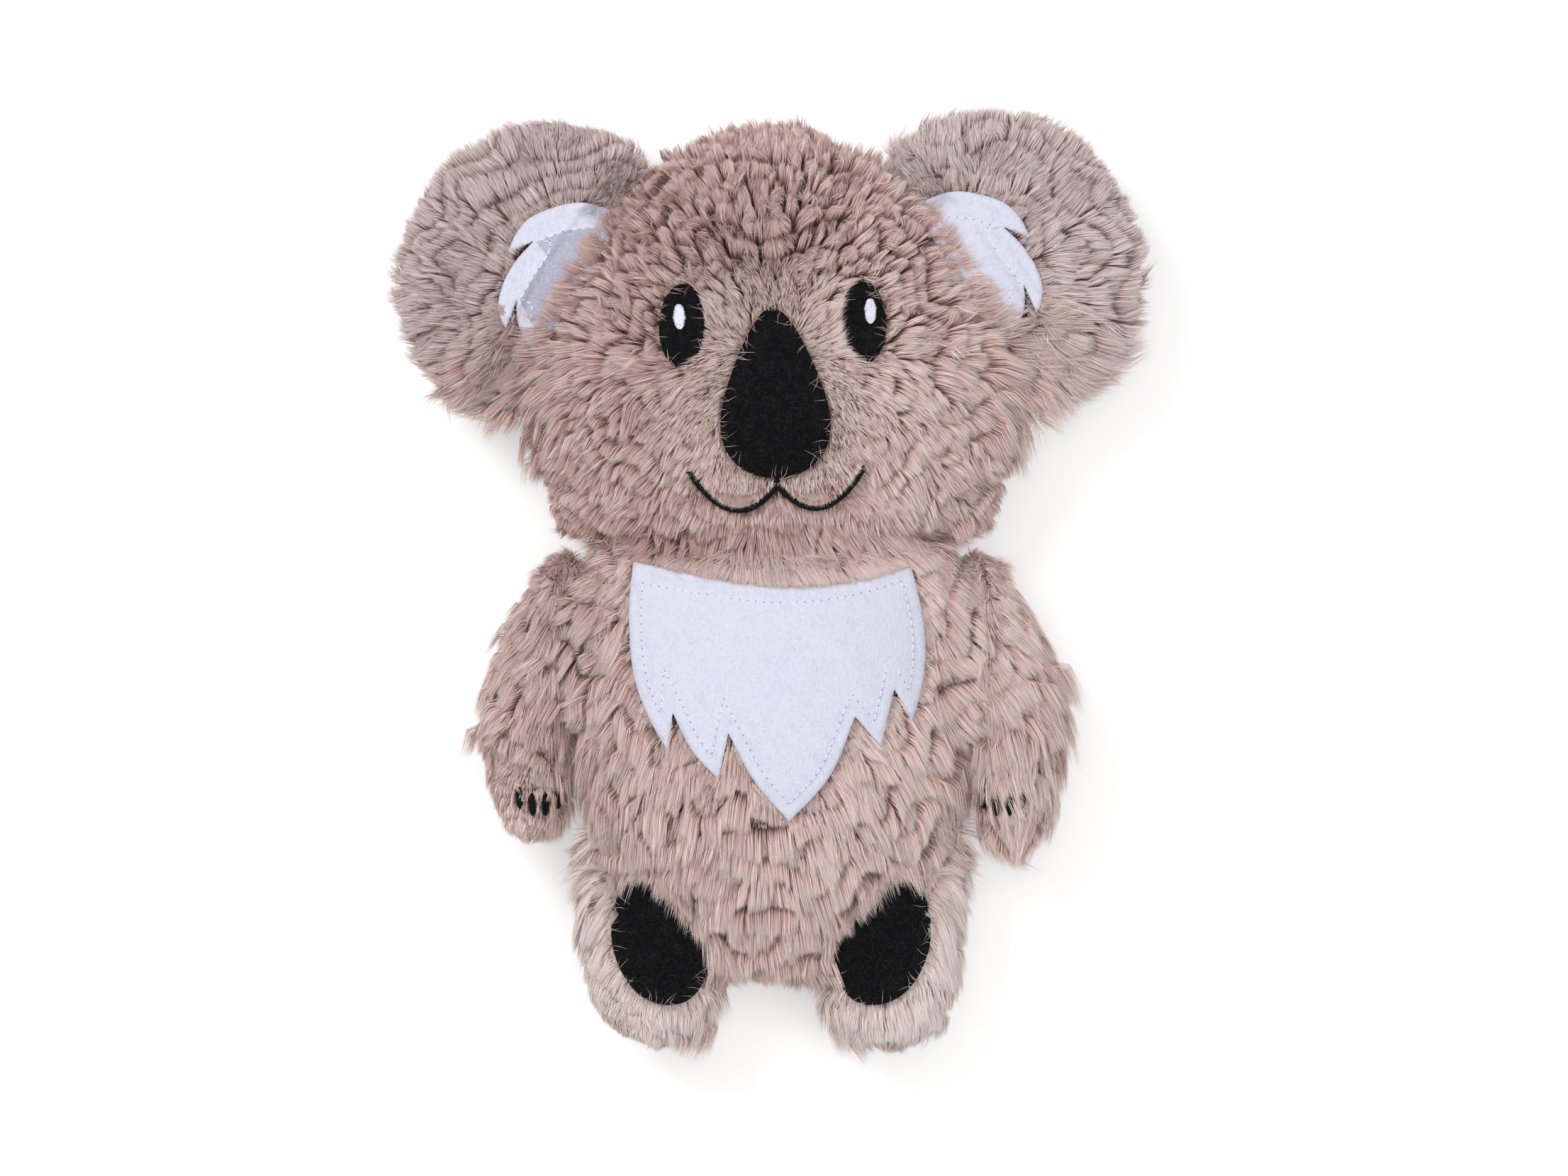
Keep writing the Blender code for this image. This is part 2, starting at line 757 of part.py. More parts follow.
BELOW_SEAM = box_cutter("below_seam", -CUT_SPAN, SEAM_HEIGHT + SEWN_GAP / 2)
ABOVE_SEAM = box_cutter("above_seam", SEAM_HEIGHT - SEWN_GAP / 2, SEAM_HEIGHT + CUT_SPAN)
BELOW_FLOOR = box_cutter("below_floor", -CUT_SPAN, 0)

torso, head = make_torso(), make_head()
torso_frame = new_frame("torso_frame", torso.hinge)
head_frame = new_frame("head_hinge", head.hinge, torso_frame)
torso_grooves, head_grooves = [], []
for side, side_name in SIDE_NAMES.items():
    ear, ear_hinge, middle, outward, along = make_ear(side)
    ear_frame = new_frame(f"{side_name}_ear_hinge", ear_hinge, head_frame)
    stuffed_part(f"{side_name}_ear", ear, ear_frame)
    dress_ear(side_name, side, ear, ear_frame, middle, outward, along)
    seam_length = ROOT_SHARES["ear"] * ear.length
    head_grooves.append(groove_cutter(f"{side_name}_ear_groove", ear, seam_length))
    for limb_name, limb in (("arm", make_arm(side)), ("leg", make_leg(side))):
        name = f"{side_name}_{limb_name}"
        frame = new_frame(name + "_hinge", limb.hinge, torso_frame)
        stuffed_part(name, limb, frame)
        dress = dress_arm if limb_name == "arm" else dress_leg
        dress(side_name, side, limb, frame)
        seam_length = ROOT_SHARES[limb_name] * limb.length
        torso_grooves.append(groove_cutter(name + "_groove", limb, seam_length))
stuffed_part("torso", torso, torso_frame, torso_grooves, on_floor=True)
stuffed_part("head", head, head_frame, head_grooves, on_floor=True)
dress_torso(torso, torso_frame)
dress_face(head, head_frame)
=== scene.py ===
"""Plush koala: pile, felt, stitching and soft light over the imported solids.

Metres, in the model's frame. The toy lies on its back, its face towards +Z, its head towards +Y
and its own left side at +X. Left and right are the toy's own. The forms are read from the CAD
nodes, and the outlines of felt and embroidery are drawn again from the part's own sizes.
"""

import json
import math

import bmesh
import bpy
import numpy as np
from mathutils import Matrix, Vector
from mathutils.bvhtree import BVHTree
from mathutils.geometry import delaunay_2d_cdt
from mathutils.kdtree import KDTree

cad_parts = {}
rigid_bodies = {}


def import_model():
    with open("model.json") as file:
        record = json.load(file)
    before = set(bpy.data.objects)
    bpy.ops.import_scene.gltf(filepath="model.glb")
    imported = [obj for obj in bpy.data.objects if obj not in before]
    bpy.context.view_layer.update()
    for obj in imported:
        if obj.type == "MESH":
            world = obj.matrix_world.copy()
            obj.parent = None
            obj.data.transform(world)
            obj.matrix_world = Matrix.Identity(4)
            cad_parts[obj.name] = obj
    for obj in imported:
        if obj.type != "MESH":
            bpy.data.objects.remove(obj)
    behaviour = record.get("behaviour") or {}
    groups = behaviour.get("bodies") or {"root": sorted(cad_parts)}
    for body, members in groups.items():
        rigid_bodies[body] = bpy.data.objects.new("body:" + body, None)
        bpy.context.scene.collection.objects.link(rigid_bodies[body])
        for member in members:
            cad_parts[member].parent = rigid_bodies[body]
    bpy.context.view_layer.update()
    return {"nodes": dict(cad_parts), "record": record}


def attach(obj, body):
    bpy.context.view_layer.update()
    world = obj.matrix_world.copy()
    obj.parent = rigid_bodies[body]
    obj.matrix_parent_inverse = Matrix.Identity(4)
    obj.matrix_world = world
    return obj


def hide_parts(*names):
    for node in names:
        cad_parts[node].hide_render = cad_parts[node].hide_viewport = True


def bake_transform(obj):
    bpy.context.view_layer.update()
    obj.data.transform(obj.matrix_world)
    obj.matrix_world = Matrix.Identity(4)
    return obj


MM = 0.001
UP = np.array([0.0, 0.0, 1.0])
LEFT, RIGHT = 1, -1
SIDES = {"left": LEFT, "right": RIGHT}

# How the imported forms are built
SEAM_HEIGHT = 0.0370
NECK = np.array([0.0005, 0.0186])
HEAD_SIDE = 0.0025
HEAD_LEAN = math.radians(1.7)
HEAD_LENGTH = 0.190
HEAD_HALF_WIDTH = 0.093
HEAD_RISE = 0.156
HEAD_MIDDLE = np.array([2.5, 80.0]) * MM
EAR_RADIUS = 0.058
EAR_OUT = 0.0051
EAR_UP = 0.0038
EAR_ROOT_SHARES = ((0.8215, 0.279), (0.930, 0.358))
ROOT_STANDOFF = 0.0035
FELT = 0.0015
SEWN_GAP = 0.0003

# Felt and embroidery, from the middle of the neck or of the form that carries them
EYE_SIZE = (0.0185, 0.0330)
EYE_SPACING = 0.0700
EYE_RISE = 0.0806
EYE_LEAN = math.radians(3)
GLINT_SIZE = (0.0046, 0.0098)
GLINT_SHIFT = 1.0 * MM
NOSE_SIZE = (0.0430, 0.0664)
NOSE_RISE = 0.0536
NOSE_TAPER_SHARE = 0.53
NOSE_FULLEST_SHARE = 1.113
NOSE_TOP_SHARE = 0.22
FACE_SHIFT = 0.0005
MOUTH_WIDTH = 0.0680
MOUTH_RISE = 0.0175
MOUTH_LIFT = 0.0060
MOUTH_DIP = 0.0212
MOUTH_THREAD = 0.0024
MOUTH_STEM = 3 * MM
BIB_SIZE = (0.1160, 0.1017)
BIB_PLACE = (0.0024, -0.0117)
PAD_SIZE = (0.0374, 0.0488)
PAD_PLACE = (0.0436, -0.1421)

# Outlines in shares of those sizes: across, along, and 1 at a corner
BIB_SHARES = (
    (-0.485, 0.000, 1), (-0.253, -0.057, 0), (-0.013, -0.098, 0), (0.223, -0.085, 0),
    (0.451, -0.019, 1), (0.486, -0.190, 0), (0.499, -0.338, 0), (0.486, -0.490, 0),
    (0.453, -0.617, 1), (0.394, -0.492, 1), (0.348, -0.713, 1), (0.262, -0.598, 1),
    (0.176, -0.826, 0), (0.040, -1.000, 1), (-0.078, -0.842, 0), (-0.164, -0.661, 1),
    (-0.196, -0.839, 1), (-0.285, -0.728, 0), (-0.351, -0.582, 1), (-0.363, -0.737, 1),
    (-0.432, -0.600, 0), (-0.482, -0.440, 0), (-0.499, -0.207, 0),
)
# The felt of the ears and the feet goes on across the seam, under the fur of the head and belly
INNER_EAR_SHARES = (
    (-0.565, -0.230, 1), (-0.580, -0.110, 0), (-0.529, 0.046, 0), (-0.430, 0.170, 0),
    (-0.252, 0.300, 0), (-0.110, 0.325, 0), (0.036, 0.302, 1), (-0.128, 0.197, 1),
    (0.038, 0.227, 0), (0.204, 0.222, 0), (0.349, 0.178, 0), (0.443, 0.094, 0),
    (0.470, 0.041, 1), (0.265, 0.084, 1), (0.380, 0.010, 0), (0.441, -0.064, 0),
    (0.507, -0.191, 1), (0.440, -0.250, 1),
)
INNER_EAR_STITCHES = (
    (-0.500, -0.200), (-0.422, -0.094), (-0.305, 0.052), (-0.217, 0.115), (-0.130, 0.178),
    (-0.195, 0.095), (-0.090, 0.064), (0.087, 0.074), (0.262, 0.062), (0.227, -0.014),
    (0.338, -0.072), (0.420, -0.220),
)
# The stitches that stand out from the line of the fold are left out of it
FOLD_STITCHES = [0, 1, 2, 3, 4, 6, 7, 8, 10, 11]
PAD_SHARES = (
    (0.10, 1.02, 0), (0.50, 1.06, 0), (0.80, 0.84, 0), (1.00, 0.38, 0), (0.93, -0.22, 0),
    (0.50, -0.78, 0), (-0.10, -1.00, 0), (-0.66, -0.90, 0), (-1.00, -0.45, 0), (-1.04, 0.00, 0),
    (-0.92, 0.14, 0),
)

# Claws, from the arm's own top
ARM_LENGTH = 0.114
ARM_BOW = 0.0177
ARM_RISE = 0.032
ARM_ROOT = (0.0785, -0.039)
CLAW_SIZE = (0.0028, 0.0088)
CLAW_SPACING = 0.0051
CLAW_RISE = 0.0145
CLAW_INSET = 0.0055
CLAW_FAN = math.radians(2.8)
CLAW_ROW_SHARES = (-1.5, -0.5, 0.5, 1.5)
CLAW_DIP_SHARES = (0.25, -0.05, -0.05, 0.25)

# Pile: how dense and how wide, and how thin it is underneath
STRAND_SPACING = 0.48 * MM
STRAND_WIDTH = 0.21 * MM
BACK_SHARE = 0.33
BACK_TURN = -0.2
STRANDS_PER_PIECE = 60000
FLOOR_CLEARANCE = 0.4 * MM

# Topstitching and embroidery
STITCH_PITCH = 3.2 * MM
STITCH_SHARE = 0.74
STITCH_RADIUS = 0.33 * MM
STITCH_DEPTH = 0.12 * MM
HOLE_RADIUS = 0.30 * MM
HOLE_LIFT = 0.05 * MM
SATIN_PITCH = 0.42 * MM
MOUTH_PITCH = 0.75 * MM
GLINT_LIFT = FELT + 0.35 * MM
EMBROIDERY_LIFT = 2.0 * MM
BLACK_INSET = 4.4 * MM
BIB_INSET = 4.7 * MM
BIB_CORNER_INSET = 7.9 * MM
EAR_SEAM_INSET = 3 * MM
PAD_SEAM_INSET = 7 * MM

# Plush that crosses each seam: reach into the larger piece, reach into the smaller one,
# length along the seam up and down, and how far it sinks between them
CROSSINGS = {
    "head_nod": (17 * MM, 15 * MM, (-62 * MM, 62 * MM), 6.0 * MM),
    "ear_fold": (13 * MM, 12 * MM, (-35 * MM, 52 * MM), 2.5 * MM),
    "arm_fold": (14 * MM, 12 * MM, (-27 * MM, 38 * MM), 2.5 * MM),
    "leg_fold": (12 * MM, 13 * MM, (-38 * MM, 38 * MM), 2.0 * MM),
}

# Studio: the camera looks straight down at the toy. Each lamp has a place, a size and a power
CAMERA_PLACE = (0.00556, -0.00375, 5.159)
CAMERA_LENS = 300
CAMERA_SENSOR = 36
FLOOR_HALF = 3.0
FLOOR_GLOW = 0.42
WORLD_STRENGTH = 0.42
LAMP_AIM = (0, 0, 0.03)
LAMPS = {
    "key": ((-0.75, 0.75, 1.35), 0.8, 11.5),
    "fill": ((0.9, -0.7, 1.3), 0.9, 5),
    "overhead": ((0.1, 0.2, 2.2), 1.2, 8),
}

rng = np.random.default_rng(7)


# Numbers


def smoothstep(low, high, value):
    share = np.clip((value - low) / (high - low), 0, 1)
    return share * share * (3 - 2 * share)


def unit(vectors):
    return vectors / np.maximum(np.linalg.norm(vectors, axis=-1, keepdims=True), 1e-9)


class Waves:
    """Smooth noise of one scale, as a sum of plane waves, about -1 to 1."""

    def __init__(self, scale, seed, count=14):
        maker = np.random.default_rng(seed)
        turns = unit(maker.normal(size=(count, 3)))
        self.waves = turns * (2 * math.pi / (scale * maker.uniform(0.7, 1.5, (count, 1))))
        self.starts = maker.uniform(0, 2 * math.pi, count)
        self.share = math.sqrt(2 / count) / 1.4

    def __call__(self, points):
        return np.sin(points @ self.waves.T + self.starts).sum(axis=-1) * self.share


BROAD = Waves(45 * MM, 1)
WARP = Waves(24 * MM, 2)
RIPPLE = Waves(9 * MM, 3)
SHADE = Waves(30 * MM, 4)
TURN = Waves(14 * MM, 6)
STREAKS = Waves(1.4 * MM, 5)
FELT_DENTS = Waves(7 * MM, 8)


# Outlines in the plane


def turned(points, angle):
    cos, sin = math.cos(angle), math.sin(angle)
    x, y = points[:, 0], points[:, 1]
    return np.stack([x * cos - y * sin, x * sin + y * cos], axis=1)


def quarter_turn(ways):
    return np.stack([-ways[:, 1], ways[:, 0]], axis=1)


def on_head(points):
    return turned(points, HEAD_LEAN) + NECK + (HEAD_SIDE, 0)


def signed_area(outline):
    """The area inside a closed outline, positive where it runs anticlockwise."""
    after = np.roll(outline, -1, axis=0)
    return (outline[:, 0] * after[:, 1] - after[:, 0] * outline[:, 1]).sum() / 2


def smooth_outline(shares, step=0.8 * MM):
    """A closed outline through these points, curved except at its corners."""
    points = np.array([p[:2] for p in shares], dtype=float)
    corner = [bool(p[2]) for p in shares]
    count = len(points)
    made = []
    for index in range(count):
        start, end = points[index], points[(index + 1) % count]
        length = np.linalg.norm(end - start)
        before = (end - points[index - 1]) / 2
        after = (points[(index + 2) % count] - start) / 2
        rise = end - start if corner[index] else unit(before) * length
        fall = end - start if corner[(index + 1) % count] else unit(after) * length
        steps = max(2, int(length / step))
        for t in np.arange(steps) / steps:
            made.append(
                start * (2 * t**3 - 3 * t**2 + 1)
                + rise * (t**3 - 2 * t**2 + t)
                + end * (3 * t**2 - 2 * t**3)
                + fall * (t**3 - t**2)
            )
    return np.array(made)


def sized(shares, size, centre, side=LEFT):
    return [
        (side * (centre[0] + x * size[0]), centre[1] + y * size[1], corner)
        for x, y, corner in shares
    ]


def oval(size, centre, turn=0.0, side=LEFT, count=48):
    angle = np.arange(count) * 2 * math.pi / count
    ring = np.stack([size[0] / 2 * np.cos(angle), size[1] / 2 * np.sin(angle)], axis=1)
    return (turned(ring, turn) + centre) * (side, 1)


def distance_to(points, outline):
    """How far points lie outside a closed outline, negative inside it."""
    a, b = outline, np.roll(outline, -1, axis=0)
    edge = b - a
    length = (edge**2).sum(axis=1)
    nearest = np.full(len(points), np.inf)
    inside = np.zeros(len(points), dtype=bool)
    for start, run, long in zip(a, edge, length):
        rel = points - start
        share = np.clip((rel @ run) / max(long, 1e-12), 0, 1)
        gap = rel - share[:, None] * run
        nearest = np.minimum(nearest, (gap**2).sum(axis=1))
        end = start + run
        crosses = (start[1] > points[:, 1]) != (end[1] > points[:, 1])
        if abs(run[1]) > 1e-12:
            inside ^= crosses & (rel[:, 0] < run[0] * (rel[:, 1] / run[1]))
    return np.sqrt(nearest) * np.where(inside, -1, 1)


def inset_line(outline, inset):
    """The outline moved inwards, without the loops that narrow tips would make."""
    ahead = unit(np.roll(outline, -1, axis=0) - np.roll(outline, 1, axis=0))
    moved = outline + quarter_turn(ahead) * inset * np.sign(signed_area(outline))
    clear = distance_to(moved, outline) < -0.93 * inset
    return moved[clear]


def meeting(a, b, near):
    """Where two lines of points cross: places along both, and the point nearest to a corner."""
    p, q = a[:-1, None], b[None, :-1]
    r, s = a[1:, None] - p, b[None, 1:] - q
    cross = r[..., 0] * s[..., 1] - r[..., 1] * s[..., 0]
    cross = np.where(np.abs(cross) < 1e-14, 1e-14, cross)
    gap = q - p
    t = (gap[..., 0] * s[..., 1] - gap[..., 1] * s[..., 0]) / cross
    u = (gap[..., 0] * r[..., 1] - gap[..., 1] * r[..., 0]) / cross
    i, j = np.nonzero((t >= 0) & (t <= 1) & (u >= 0) & (u <= 1))
    spots = a[i] + (a[i + 1] - a[i]) * t[i, j][:, None]
    best = np.linalg.norm(spots - near, axis=1).argmin()
    i, j = i[best], j[best]
    return i + t[i, j], j + u[i, j], spots[best]


def mitred_line(outline, corners, insets, reach=30 * MM):
    """The outline moved inwards side by side, its sides made longer until they meet."""
    firsts = [np.linalg.norm(outline - corner, axis=1).argmin() for corner in corners]
    sides = []
    for first, last, inset in zip(firsts, firsts[1:] + firsts[:1], insets):
        line = outline[(first + np.arange((last - first) % len(outline) + 1)) % len(outline)]
        ahead = unit(np.gradient(line, axis=0))
        depth = np.linspace(*inset, len(line))[:, None] * np.sign(signed_area(outline))
        moved = line + quarter_turn(ahead) * depth
        before, beyond = moved[:1] - ahead[:1] * reach, moved[-1:] + ahead[-1:] * reach
        sides.append(np.vstack([before, moved, beyond]))
    after = sides[1:] + sides[:1]
    ends = corners[1:] + corners[:1]
    meets = [meeting(a, b, corner) for a, b, corner in zip(sides, after, ends)]
    line = []
    for side, (_, start, spot), (end, _, _) in zip(sides, meets[-1:] + meets[:-1], meets):
        line += [spot, *side[math.ceil(start) : math.floor(end) + 1]]
    return np.array(line)


def evenly(points, step, closed=True):
    """Points at equal steps along a line of points."""
    line = np.vstack([points, points[:1]]) if closed else points
    steps = np.linalg.norm(np.diff(line, axis=0), axis=1)
    lengths = np.concatenate([[0], np.cumsum(steps)])
    count = max(2, int(round(lengths[-1] / step)))
    marks = np.linspace(0, lengths[-1], count, endpoint=not closed)
    return np.stack([np.interp(marks, lengths, line[:, k]) for k in range(2)], axis=1)


# Outlines of the pieces


def bib_outline():
    return smooth_outline(sized(BIB_SHARES, BIB_SIZE, BIB_PLACE)) + NECK


def bib_stitches(bib):
    """A line inside the bib's edge that turns sharply at its corners."""
    points = sized(BIB_SHARES, BIB_SIZE, BIB_PLACE)
    corners = [np.array(p[:2]) + NECK for p in points if p[2]]
    insets = [(BIB_CORNER_INSET, BIB_INSET)] + [(BIB_INSET, BIB_INSET)] * (len(corners) - 1)
    return mitred_line(bib, corners, insets)


def nose_outline():
    angle = np.arange(64) * 2 * math.pi / 64
    taper = (1 - NOSE_TAPER_SHARE * np.cos(angle)) / NOSE_FULLEST_SHARE
    fuller = 1 + NOSE_TOP_SHARE * np.maximum(np.cos(angle), 0) ** 2
    x = FACE_SHIFT + NOSE_SIZE[0] / 2 * np.sin(angle) * taper * fuller
    return on_head(np.stack([x, NOSE_RISE + NOSE_SIZE[1] / 2 * np.cos(angle)], axis=1))


def mouth_line():
    """The middle of the two smiling arcs, from one end to the other."""
    x = np.linspace(-1, 1, 161)
    share = np.abs(x)
    dip = 2 * share * (1 - share) * MOUTH_DIP
    y = MOUTH_RISE + MOUTH_LIFT * share**2 - dip
    return on_head(np.stack([FACE_SHIFT + MOUTH_WIDTH / 2 * x, y], axis=1))


def mouth_ribbon(smile):
    across = quarter_turn(unit(np.gradient(smile, axis=0))) * MOUTH_THREAD * 0.8
    return np.vstack([smile + across, (smile - across)[::-1]])


def eye_centre(side):
    return (EYE_SPACING / 2 + side * FACE_SHIFT, EYE_RISE)


def eye_outline(side):
    return on_head(oval(EYE_SIZE, eye_centre(side), EYE_LEAN, side))


def pad_outline(side):
    half = (PAD_SIZE[0] / 2, PAD_SIZE[1] / 2)
    return smooth_outline(sized(PAD_SHARES, half, PAD_PLACE, side)) + (NECK[0], 0)


def ear_frame():
    """The middle of the ear's disc, its way along the root and its way out, before the lean."""
    high, low = (
        np.array([x * HEAD_HALF_WIDTH, HEAD_RISE - y * HEAD_LENGTH]) for x, y in EAR_ROOT_SHARES
    )
    along = unit(low - high)
    outward = np.array([-along[1], along[0]])
    middle = (high + low) / 2 + outward * ROOT_STANDOFF
    down = np.array([outward[1], -outward[0]])
    return middle + outward * EAR_OUT - down * EAR_UP, down, outward


def on_ear(shares, side):
    """Points in shares of the ear's radius, along its root and outwards, before the lean."""
    disc, along, outward = ear_frame()
    spots = [disc + (along * a + outward * b) * EAR_RADIUS for a, b in shares]
    return np.array(spots) * (side, 1)


def inner_ear_outline(side):
    spots = on_ear([share[:2] for share in INNER_EAR_SHARES], side)
    return on_head(smooth_outline([(*p, s[2]) for p, s in zip(spots, INNER_EAR_SHARES)]))


def inner_ear_stitches(side):
    return on_head(on_ear(INNER_EAR_STITCHES, side))


def inner_ear_fold(side):
    """The line that parts an inner ear's middle from its edge, and what lies beyond it."""
    disc, along, outward = ear_frame()
    line = np.array(INNER_EAR_STITCHES)[FOLD_STITCHES]
    line = np.vstack([line[0] - (0.2, 0), line, line[-1] + (0.2, 0)])

    def beyond(points):
        rel = turned(points - NECK - (HEAD_SIDE, 0), -HEAD_LEAN) * (side, 1) - disc
        edge = np.interp(rel @ along / EAR_RADIUS, line[:, 0], line[:, 1])
        return rel @ outward / EAR_RADIUS > edge

    return evenly(on_head(on_ear(line, side)), 1 * MM, closed=False), beyond


def claw_places(side):
    """The middle of each claw on a paw, and how far it fans out."""
    top = (ARM_ROOT[0], ARM_ROOT[1] + ARM_RISE + NECK[1])
    for row, dip in zip(CLAW_ROW_SHARES, CLAW_DIP_SHARES):
        x = top[0] + ARM_BOW - CLAW_INSET + row * CLAW_SPACING
        y = top[1] + dip * CLAW_SIZE[1] + CLAW_RISE - ARM_LENGTH
        yield (x, y), -row * CLAW_FAN


# Meshes


def arrays_of(mesh):
    mesh.calc_loop_triangles()
    points = np.empty(len(mesh.vertices) * 3)
    mesh.vertices.foreach_get("co", points)
    corners = np.empty(len(mesh.loop_triangles) * 3, dtype=np.int32)
    mesh.loop_triangles.foreach_get("vertices", corners)
    return points.reshape(-1, 3), corners.reshape(-1, 3)


def normals_of(mesh):
    normals = np.empty(len(mesh.vertices) * 3)
    mesh.vertices.foreach_get("normal", normals)
    return normals.reshape(-1, 3)


def tree_of(*meshes):
    points, corners = [], []
    for mesh in meshes:
        more, triangles = arrays_of(mesh)
        corners += (triangles + len(points)).tolist()
        points += more.tolist()
    return BVHTree.FromPolygons(points, corners)


def shade_smooth(mesh):
    mesh.polygons.foreach_set("use_smooth", np.ones(len(mesh.polygons), dtype=bool))


def new_object(name, mesh, *materials):
    made = bpy.data.objects.new(name, mesh)
    bpy.context.scene.collection.objects.link(made)
    for material in materials:
        mesh.materials.append(material)
    return made


def mesh_from(name, points, faces, smooth=True):
    mesh = bpy.data.meshes.new(name)
    mesh.from_pydata([tuple(p) for p in points], [], faces)
    if smooth:
        shade_smooth(mesh)
    return mesh


def smoothed(mesh, levels):
    """The mesh after subdivision."""
    guide = new_object("guide", mesh)
    guide.modifiers.new("finer", "SUBSURF").levels = levels
    bpy.context.view_layer.update()
    graph = bpy.context.evaluated_depsgraph_get()
    made = bpy.data.meshes.new_from_object(guide.evaluated_get(graph))
    bpy.data.objects.remove(guide, do_unlink=True)
    return made


def narrow_shoulders(body, points):
    """The toy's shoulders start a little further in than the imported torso's top corners."""
    if body != "torso":
        return points
    aside = points[:, 0] - NECK[0]
    corner = smoothstep(0.062, 0.086, np.abs(aside)) * smoothstep(-0.008, 0.014, points[:, 1])
    shift = np.zeros(points.shape)
    shift[:, 0] = np.sign(aside) * 6 * MM
    shift[:, 1] = 2.5 * MM
    return points - shift * corner[:, None]


def outer_skin(body):
    """The outside of a body's two covers, welded along the side seam."""
    stuffing = tree_of(frame["nodes"][body + "_stuffing"].data)
    bm = bmesh.new()
    for half in ("front", "back"):
        bm.from_mesh(frame["nodes"][f"{body}_{half}_cover"].data)
    inner = []
    for face in bm.faces:
        middle = face.calc_center_median()
        distance = stuffing.find_nearest(middle)[3]
        on_seam = abs(middle.z - SEAM_HEIGHT) < 2 * SEWN_GAP and abs(face.normal.z) > 0.99
        if distance < 2.5 * MM or on_seam:
            inner.append(face)
    bmesh.ops.delete(bm, geom=inner, context="FACES")
    bmesh.ops.remove_doubles(bm, verts=bm.verts, dist=2 * SEWN_GAP)
    mesh = bpy.data.meshes.new(body + "_skin")
    bm.to_mesh(mesh)
    bm.free()
    skin = smoothed(mesh, 1)
    skin.vertices.foreach_set("co", narrow_shoulders(body, arrays_of(skin)[0]).ravel())
    skin.update()
    return skin


def height_on(tree, points, below=False):
    """The height of a form's upper or lower surface over points of the plane."""
    start, way = (-0.2, (0, 0, 1)) if below else (0.3, (0, 0, -1))
    heights = np.full(len(points), np.nan)
    for index, (x, y) in enumerate(points):
        hit = tree.ray_cast((x, y, start), way)[0]
        if hit is not None:
            heights[index] = hit.z
    return heights


def filled(heights):
    """The gaps in a row of heights, filled from their neighbours or else with the side seam's."""
    known = ~np.isnan(heights)
    if not known.any():
        return np.full(len(heights), SEAM_HEIGHT)
    index = np.arange(len(heights))
    return np.interp(index, index[known], heights[known])


def over(skin, points, lift):
    """Points of the plane at this height over a form and the gap that a sewn piece leaves."""
    return np.column_stack([points, filled(height_on(skin, points)) + SEWN_GAP + lift])


def bring_back(tips, normals, chosen, trees, rise):
    """Tips that fly off a bend are brought back to this height over the forms below them."""
    for sign, below in ((1, False), (-1, True)):
        index = np.flatnonzero(chosen & (normals[:, 2] * sign > 0))
        forms = [height_on(tree, tips[index, :2], below) * sign for tree in trees]
        tips[index, 2] = sign * np.fmin(tips[index, 2] * sign, np.fmax.reduce(forms) + rise)


def nearest(seeds, points):
    """The index of the nearest seed to each point."""
    tree = KDTree(len(seeds))
    for index, seed in enumerate(seeds.tolist()):
        tree.insert(seed, index)
    tree.balance()
    return np.array([tree.find(point)[1] for point in points.tolist()])


def scatter(mesh, spacing, back_share=1.0):
    """Points on a mesh with their normals, spread at random, thinner on its underside."""
    points, corners = arrays_of(mesh)
    normals = normals_of(mesh)
    a, b, c = (points[corners[:, k]] for k in range(3))
    cross = np.cross(b - a, c - a)
    areas = np.linalg.norm(cross, axis=1) / 2
    areas = np.where(unit(cross)[:, 2] < BACK_TURN, areas * back_share, areas)
    count = int(areas.sum() / spacing**2)
    chosen = np.searchsorted(np.cumsum(areas) / areas.sum(), np.sort(rng.random(count)))
    u, v = rng.random(count), rng.random(count)
    flip = u + v > 1
    u[flip], v[flip] = 1 - u[flip], 1 - v[flip]
    shares = np.stack([1 - u - v, u, v], axis=1)[:, :, None]
    places = (points[corners[chosen]] * shares).sum(axis=1)
    facing = unit((normals[corners[chosen]] * shares).sum(axis=1))
    return places, facing


def ribbons(name, root, middle, tip, side, width, shade, material):
    """One flat tapering ribbon of three triangles per strand, its map running along it."""
    count = len(root)
    half = side * width[:, None] / 2
    points = np.empty((count, 5, 3))
    points[:, 0] = root - half * 0.8
    points[:, 1] = root + half * 0.8
    points[:, 2] = middle - half
    points[:, 3] = middle + half
    points[:, 4] = tip
    points[:, :, 2] = np.maximum(points[:, :, 2], FLOOR_CLEARANCE)
    first = np.arange(count)[:, None] * 5
    corners = (first + np.array([[0, 1, 3, 2, 2, 3, 4]])).ravel()
    starts = (np.arange(count)[:, None] * 7 + np.array([[0, 4]])).ravel()
    mesh = bpy.data.meshes.new(name)
    mesh.vertices.add(count * 5)
    mesh.vertices.foreach_set("co", points.ravel())
    mesh.loops.add(count * 7)
    mesh.loops.foreach_set("vertex_index", corners.astype(np.int32))
    mesh.polygons.add(count * 2)
    mesh.polygons.foreach_set("loop_start", starts.astype(np.int32))
    mesh.update(calc_edges=True)
    shade_smooth(mesh)
    along = np.array([0.0, 0.0, 0.5, 0.5, 0.5, 0.5, 1.0])
    aside = np.array([-1.0, 1.0, 1.0, -1.0, -1.0, 1.0, 0.0]) * 0.012
    places = np.empty((count, 7, 2))
    places[:, :, 0] = 0.01 + 0.98 * along
    places[:, :, 1] = np.clip(shade, 0.03, 0.97)[:, None] + aside
    layer = mesh.uv_layers.new(name="OFBake")
    layer.uv.foreach_set("vector", places.ravel())
    return new_object(name, mesh, material)


# Materials


